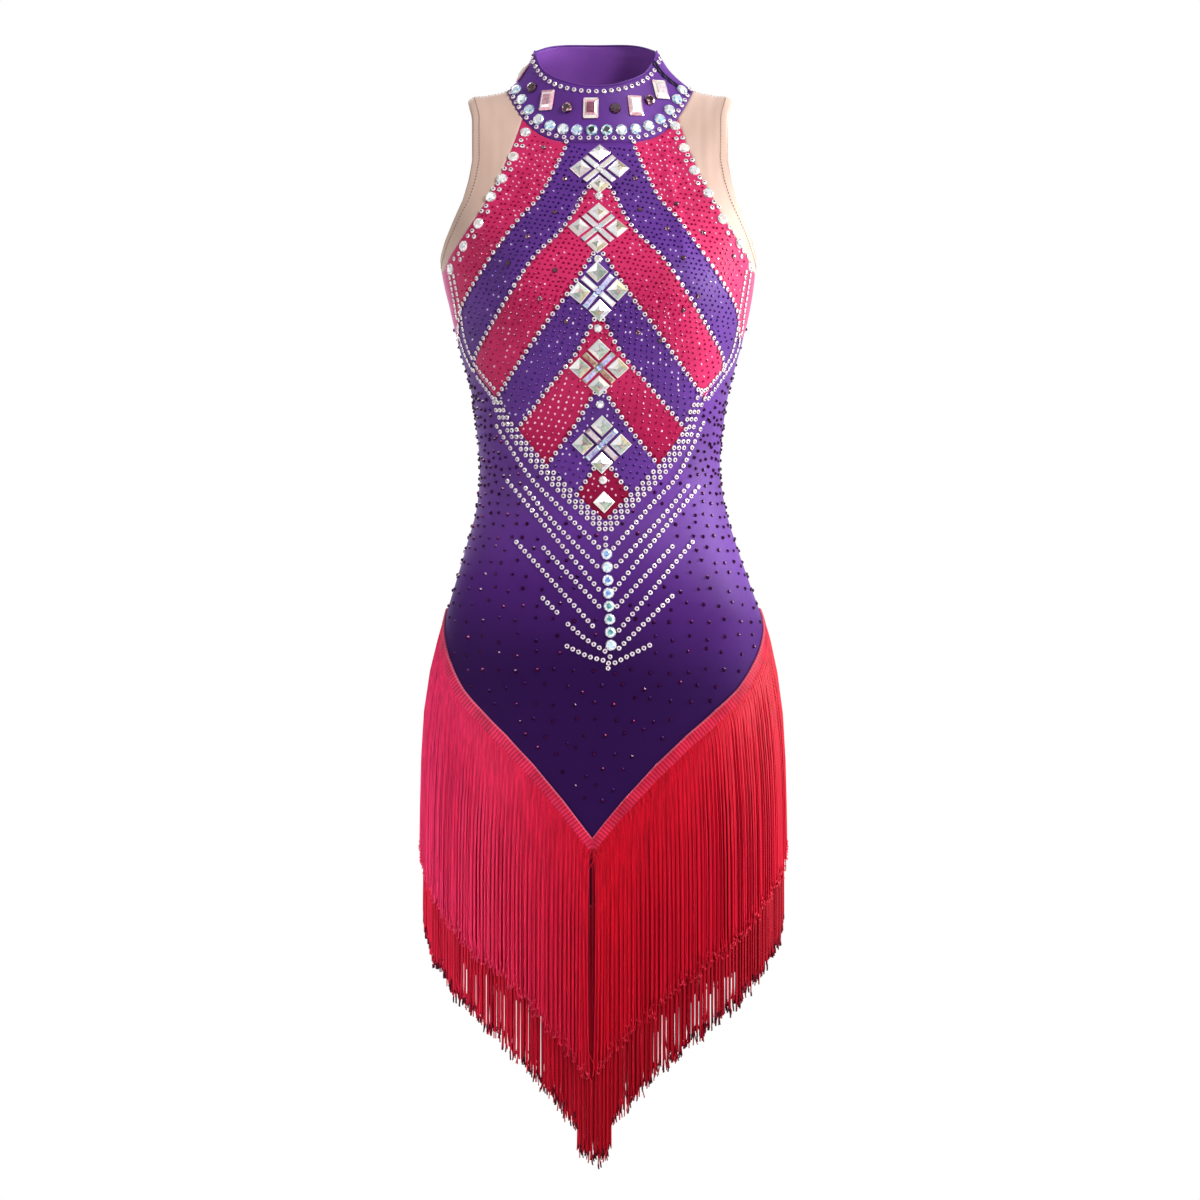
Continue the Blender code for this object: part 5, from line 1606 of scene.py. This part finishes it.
def scatter(stones, spots, palettes, diameter, rng, weights, bright=0.0):
    """Tiny stones, each in one of four palettes. A share of them, bright, take the last."""
    radius = 0.5 * diameter * rng.uniform(0.85, 1.15, (len(spots), 1))
    picks = rng.choice(4, len(spots), p=weights)
    # a share of stones, bright, take the last palette: a painted highlight
    picks = np.where(rng.random(len(spots)) < bright, 3, picks)
    seat = seats(spots, spin=rng.uniform(0.2, 1.0, len(spots)))
    stones.add(TINY, seat, radius * np.array((1, 1, 1.1)), [palettes[i] for i in picks])


def tiny_on_bodice(rng):
    """Tiny stones in sloping rows over the bands, and a few larger dark ones among them."""
    sizes = settings().stones
    stones = Stones()
    set_rounds(stones, ROUND_8, in_mm(DARK_ROUNDS), DARK_ROUND, DARK_TINTS)
    rows, z = [], TINY_TOP
    while z > CHEVRON_POINT - 0.010:
        pitch = sizes.tiny_pitch * float(np.interp(z, (-0.32, -0.20), (1.34, 1.0)))
        across = np.arange(-TINY_REACH, TINY_REACH, pitch) + (len(rows) % 2) * pitch / 2
        rows.append(np.stack([across, z - TINY_LEAN * across], -1))
        z -= TINY_ROW_STEP * pitch
    marks = np.concatenate(rows)
    marks = marks + rng.normal(0, TINY_JITTER, marks.shape)
    band = band_of(marks)
    seam = np.interp(marks[:, 1], *zip(*INSET_SEAM[::-1]), left=CHEVRON_CORNER[0] + 0.0015)
    inside = (np.abs(marks[:, 0]) < seam - TINY_FROM_SEAM) & (band >= 0)
    marks, band = marks[inside], band[inside]
    spots = from_front(marks)
    good = (spots[:, 1] > COLLAR_SEAM + TINY_FROM_COLLAR) & clear_of_taken(marks, TINY_FROM_STONES)
    good &= np.linalg.norm(marks_of(at(spots)) - marks, axis=-1) < MM
    spots, band = spots[good], band[good]
    x, z = marks_of(at(spots)).T
    # painted highlights: more bright stones low on the bodice's right and high up, where they catch the
    # light
    low = PAINTED_GLINT_LOW * np.interp(z, (-0.315, -0.275), (1, 0)) * np.interp(x, (0, 0.03), (1, 0))
    shares = low + PAINTED_GLINT_HIGH * np.interp(z, (-0.125, -0.085), (0, 1)), PAINTED_GLINT_ON_PURPLE * low
    for parity, (palettes, share) in enumerate(zip((RED_TINTS, VIOLET_TINTS), shares)):
        chosen = band % 2 == parity
        scatter(stones, spots[chosen], palettes, sizes.tiny_diameter, rng, BAND_WEIGHTS, share[chosen])
    stones.finish("tiny_crystals_bodice")


def tiny_on_hips(rng):
    """Tiny stones thinly over the hips and the back, where they fade out upwards."""
    lines, z, row = [], CHEVRON_SIDE + 0.004, 0
    while z > HEM_LINE[0][1] + 0.02:
        spread = float(np.interp(z, (-0.52, -0.36), (0.0190, 0.0095)))
        turns = np.linspace(-math.pi, math.pi, 400)
        line = at_pitch(np.stack([turns, level_at(z, turns)], -1), spread)
        lines.append(line[:-1] + ((row % 2) * 0.5 * (line[1, 0] - line[0, 0]), 0))
        z, row = z - HIP_ROW_STEP * spread, row + 1
    spots = np.concatenate(lines)
    spots = spots + rng.normal(0, HIP_JITTER, spots.shape)
    points, marks = at(spots), marks_of(at(spots))
    good = points[:, 2] > hem_z(spots[:, 0], 0) + HIP_FROM_HEM
    behind = np.clip(0.5 - 1.2 * np.cos(spots[:, 0]), 0, 1)
    good &= rng.random(len(spots)) < lerp(1.0, np.interp(points[:, 2], (-0.46, -0.28), (1.0, 0.0)), behind)
    good &= (np.cos(spots[:, 0]) < 0) | ((band_of(marks) < 0) & clear_of_taken(marks, HIP_FROM_STONES))
    stones = Stones()
    scatter(stones, spots[good], HIP_TINTS, HIP_SIZE * settings().stones.tiny_diameter, rng, HIP_WEIGHTS)
    stones.finish("tiny_crystals_hips")


def make_tiny_stones():
    rng = np.random.default_rng(7)
    tiny_on_bodice(rng)
    tiny_on_hips(rng)


# --- Stage ---
SENSOR = 36.0  # mm
FLOOR_RADIUS = 1.6


def place_in_scene(name, data, place, rotation=(0, 0, 0)):
    thing = bpy.data.objects.new(name, data)
    thing.location, thing.rotation_euler = place, rotation
    bpy.context.scene.collection.objects.link(thing)
    return thing


def make_stage():
    stage, scene = settings().stage, bpy.context.scene
    material, tree, shader, place = blank("pale_matt_paper", Roughness=0.9)
    grain = add(tree, "TexNoise", {"Vector": place["Object"], "Scale": 300.0, "Detail": 2.0}).outputs["Fac"]
    tone = add(tree, "Mix", {MIX_FACTOR: grain, MIX_A: rgba("#FBFBFB"), MIX_B: rgba("#F4F4F3")}, **COLOUR)
    wear(tree, shader, tone)
    mesh = bpy.data.meshes.new("floor")
    rim = ring_of(96, FLOOR_RADIUS, stage.floor_height)
    mesh.from_pydata(rim.tolist(), [], [tuple(range(len(rim)))])
    mesh.materials.append(material)
    place_in_scene("floor", mesh, (0, 0, 0))

    for name, place, aim, size, power, spread in (
        ("key_light", (2.6, -2.6, 2.0), (0.0, 0.0, -0.30), 1.2, stage.key_power, None),
        ("side_light", (3.2, 0.4, 0.3), (0.0, 0.0, -0.35), 1.6, stage.side_power, None),
        ("fill_light", (-3.4, -1.4, 0.4), (0.0, 0.0, -0.5), 2.0, stage.fill_power, None),
        ("low_light", (-3.2, -1.6, -1.1), (-0.17, 0.0, -0.80), 0.4, stage.low_power, math.radians(14)),
        ("back_light", (-1.2, 3.6, 1.6), (0.0, 0.0, -0.5), 2.0, stage.back_power, None),
    ):
        data = bpy.data.lights.new(name, "AREA")
        data.shape, data.size, data.energy = "DISK", size, power
        if spread:
            data.spread = spread
        turn = (Vector(aim) - Vector(place)).to_track_quat("-Z", "Y").to_euler()
        place_in_scene(name, data, place, turn)

    data = bpy.data.cameras.new("camera")
    data.sensor_width = SENSOR
    data.lens = SENSOR * stage.camera_distance / stage.frame_width
    data.clip_end = 200.0
    place = (0.0, -stage.camera_distance, stage.camera_height)
    scene.camera = place_in_scene("camera", data, place, (math.pi / 2, 0.0, 0.0))
    scene.view_settings.view_transform = "Standard"
    make_studio_air(stage)


def make_studio_air(stage):
    """Pale light from all round. What shines in the stones is brighter and darker patches of the studio."""
    world = bpy.data.worlds.new("pale_studio")
    world.use_nodes = True
    tree = world.node_tree
    background = tree.nodes["Background"]
    place = add(tree, "TexCoord").outputs["Generated"]
    patches = add(tree, "TexNoise", {"Vector": place, "Scale": 3.2, "Detail": 1.0})
    shine = add(tree, "MapRange", (patches.outputs["Fac"], 0.40, 0.60, 0.40, 1.25)).outputs[0]
    ray = add(tree, "LightPath").outputs
    inputs = {0: ray["Is Glossy Ray"], 2: stage.ambient, 3: shine}
    glossy = add(tree, "Mix", inputs, data_type="FLOAT").outputs[0]
    seen = add(tree, "Mix", {0: ray["Is Camera Ray"], 2: glossy, 3: 1.0}, data_type="FLOAT")
    background.inputs["Color"].default_value = (1, 1, 1, 1)
    tree.links.new(seen.outputs[0], background.inputs["Strength"])
    bpy.context.scene.world = world


# --- The add-on ---
def dye(name, description, hex_colour):
    colour = linear(hex_colour)
    return FloatVectorProperty(
        name=name, description=description, default=colour, subtype="COLOR", size=3, min=0, max=1
    )


def metres(name, description, default):
    return FloatProperty(name=name, description=description, default=default, unit="LENGTH")


def watts(name, description, default):
    return FloatProperty(name=name, description=description, default=default, unit="POWER")


class ClothSettings(bpy.types.PropertyGroup):
    purple: dye("Purple", "Dye of the purple jersey", "#653194")
    # Painted shade: the darker purple that the jersey turns to low on the hips.
    hip_painted_shade: dye("Hip purple", "Deeper purple over the hips", "#2B0F45")
    fuchsia: dye("Fuchsia", "Dye of the fuchsia jersey", "#D82C68")
    skin: dye("Skin tone", "Dye of the stretch net", "#DDBDAE")
    armhole_hem: metres("Armhole hem", "Width of the hem round the armholes", 0.0075)


class FringeSettings(bpy.types.PropertyGroup):
    colour: dye("Crimson", "Dye of the upper tier", "#E4122F")
    # pink is a painted light on the wearer's right, and deep a painted shade on the left
    pink: dye("Pink side", "The upper tier's shade on the wearer's right", "#FF3A72")
    deep: dye("Deep side", "The upper tier's shade on the wearer's left", "#C60C2C")
    # The lower tier's colours are deeper than the upper tier's: painted shade under the upper tier.
    low_colour: dye("Lower crimson", "Dye of the lower tier", "#C80E28")
    low_pink: dye("Lower pink side", "The lower tier's shade on the wearer's right", "#E41E42")
    low_deep: dye("Lower deep side", "The lower tier's shade on the wearer's left", "#A40A22")
    strands: IntProperty(name="Strands", description="Strands in a layer of a length", default=400, min=40)
    strand_radius: metres("Strand radius", "Half a strand's thickness", 0.00076)
    header: metres("Header", "Width of the header tape", 0.0125)
    stitch: metres("Stitch", "Distance between the header's ribs", 0.0036)
    parting: metres("Parting", "Half the gap under the point of the V", 0.0036)


class StoneSettings(bpy.types.PropertyGroup):
    ring_diameter: metres("Row stone", "Diameter of the stones in rows", 0.0050)
    ring_pitch: metres("Row spacing", "Distance between stones along a seam", 0.0080)
    tiny_diameter: metres("Tiny stone", "Diameter of the scattered stones", 0.0027)
    tiny_pitch: metres("Tiny spacing", "Distance between the bodice's scattered stones", 0.0053)


class StageSettings(bpy.types.PropertyGroup):
    floor_height: metres("Floor", "Height of the floor", -1.36)
    frame_width: metres("Frame width", "Width seen at the dress", 1.2)
    camera_distance: metres("Camera distance", "From the camera to the dress", VIEW_DISTANCE)
    camera_height: metres("Camera height", "Height of the camera", -0.50)
    key_power: watts("Key light", "Power of the light at the right", 135.0)
    side_power: watts("Side light", "Power of the light beside it", 120.0)
    fill_power: watts("Fill light", "Power of the light at the left", 17.0)
    low_power: watts("Low light", "Power of the light low at the left", 0.35)
    back_power: watts("Back light", "Power of the light behind", 70.0)
    ambient: FloatProperty(name="Ambient", description="Light from all round", default=0.36, min=0)


class DressSettings(bpy.types.PropertyGroup):
    cloth: PointerProperty(type=ClothSettings, name="Cloth", description="Colours and hems of the cloth")
    fringe: PointerProperty(type=FringeSettings, name="Fringe", description="Its colours and sizes")
    stones: PointerProperty(type=StoneSettings, name="Stones", description="Sizes of the small stones")
    stage: PointerProperty(type=StageSettings, name="Stage", description="Floor, lights and camera")


def settings():
    return bpy.context.scene.dance_dress


class DRESS_OT_stage(bpy.types.Operator):
    """Make the floor, the lights and the camera"""

    bl_idname = "dance_dress.stage"
    bl_label = "Stage"

    def execute(self, context):
        make_stage()
        return {"FINISHED"}


class DRESS_OT_collar(bpy.types.Operator):
    """Make the stand collar with its top edge"""

    bl_idname = "dance_dress.collar"
    bl_label = "Collar"

    def execute(self, context):
        make_collar()
        return {"FINISHED"}


class DRESS_OT_insets(bpy.types.Operator):
    """Make the four shoulder insets with their hems and stitches"""

    bl_idname = "dance_dress.insets"
    bl_label = "Shoulder insets"

    def execute(self, context):
        make_insets()
        return {"FINISHED"}


class DRESS_OT_bodice(bpy.types.Operator):
    """Make the bodice's side pieces and chevrons"""

    bl_idname = "dance_dress.bodice"
    bl_label = "Bodice"

    def execute(self, context):
        make_bodice()
        return {"FINISHED"}


class DRESS_OT_fringe(bpy.types.Operator):
    """Make both tiers of fringe"""

    bl_idname = "dance_dress.fringe"
    bl_label = "Fringe"

    def execute(self, context):
        make_fringe()
        return {"FINISHED"}


class DRESS_OT_body(bpy.types.Operator):
    """Make the front and back of the body, which carry the fringe"""

    bl_idname = "dance_dress.body"
    bl_label = "Body"

    def execute(self, context):
        make_body()
        return {"FINISHED"}


class DRESS_OT_clusters(bpy.types.Operator):
    """Set the pyramid stones and bars down the centre"""

    bl_idname = "dance_dress.clusters"
    bl_label = "Centre clusters"

    def execute(self, context):
        make_clusters()
        return {"FINISHED"}


class DRESS_OT_large_stones(bpy.types.Operator):
    """Set the large round stones and the collar's baguettes"""

    bl_idname = "dance_dress.large_stones"
    bl_label = "Large stones"

    def execute(self, context):
        make_large_stones()
        return {"FINISHED"}


class DRESS_OT_ring_stones(bpy.types.Operator):
    """Set the rows of small white stones"""

    bl_idname = "dance_dress.ring_stones"
    bl_label = "Rows of stones"

    def execute(self, context):
        make_ring_stones()
        return {"FINISHED"}


class DRESS_OT_tiny_stones(bpy.types.Operator):
    """Scatter the tiny stones"""

    bl_idname = "dance_dress.tiny_stones"
    bl_label = "Tiny stones"

    def execute(self, context):
        make_tiny_stones()
        return {"FINISHED"}


OPERATORS = (
    DRESS_OT_stage, DRESS_OT_collar, DRESS_OT_insets, DRESS_OT_bodice, DRESS_OT_fringe, DRESS_OT_body,
    DRESS_OT_clusters, DRESS_OT_large_stones, DRESS_OT_ring_stones, DRESS_OT_tiny_stones,
)


class DRESS_PT_panel(bpy.types.Panel):
    bl_label = "Dance dress"
    bl_space_type = "VIEW_3D"
    bl_region_type = "UI"
    bl_category = "Dance dress"

    def draw(self, context):
        for group in (settings().cloth, settings().fringe, settings().stones, settings().stage):
            box = self.layout.box()
            for name in group.bl_rna.properties.keys():
                if name not in ("rna_type", "name"):
                    box.prop(group, name)
        for operator in OPERATORS:
            self.layout.operator(operator.bl_idname)


GROUPS = (ClothSettings, FringeSettings, StoneSettings, StageSettings, DressSettings)
CLASSES = (*GROUPS, *OPERATORS, DRESS_PT_panel)


def register():
    for made in CLASSES:
        bpy.utils.register_class(made)
    bpy.types.Scene.dance_dress = PointerProperty(type=DressSettings)


def unregister():
    del bpy.types.Scene.dance_dress
    for made in reversed(CLASSES):
        bpy.utils.unregister_class(made)


def main():
    register()
    for operator in OPERATORS:
        getattr(bpy.ops.dance_dress, operator.bl_idname.split(".")[1])()


if __name__ == "__main__":
    main()
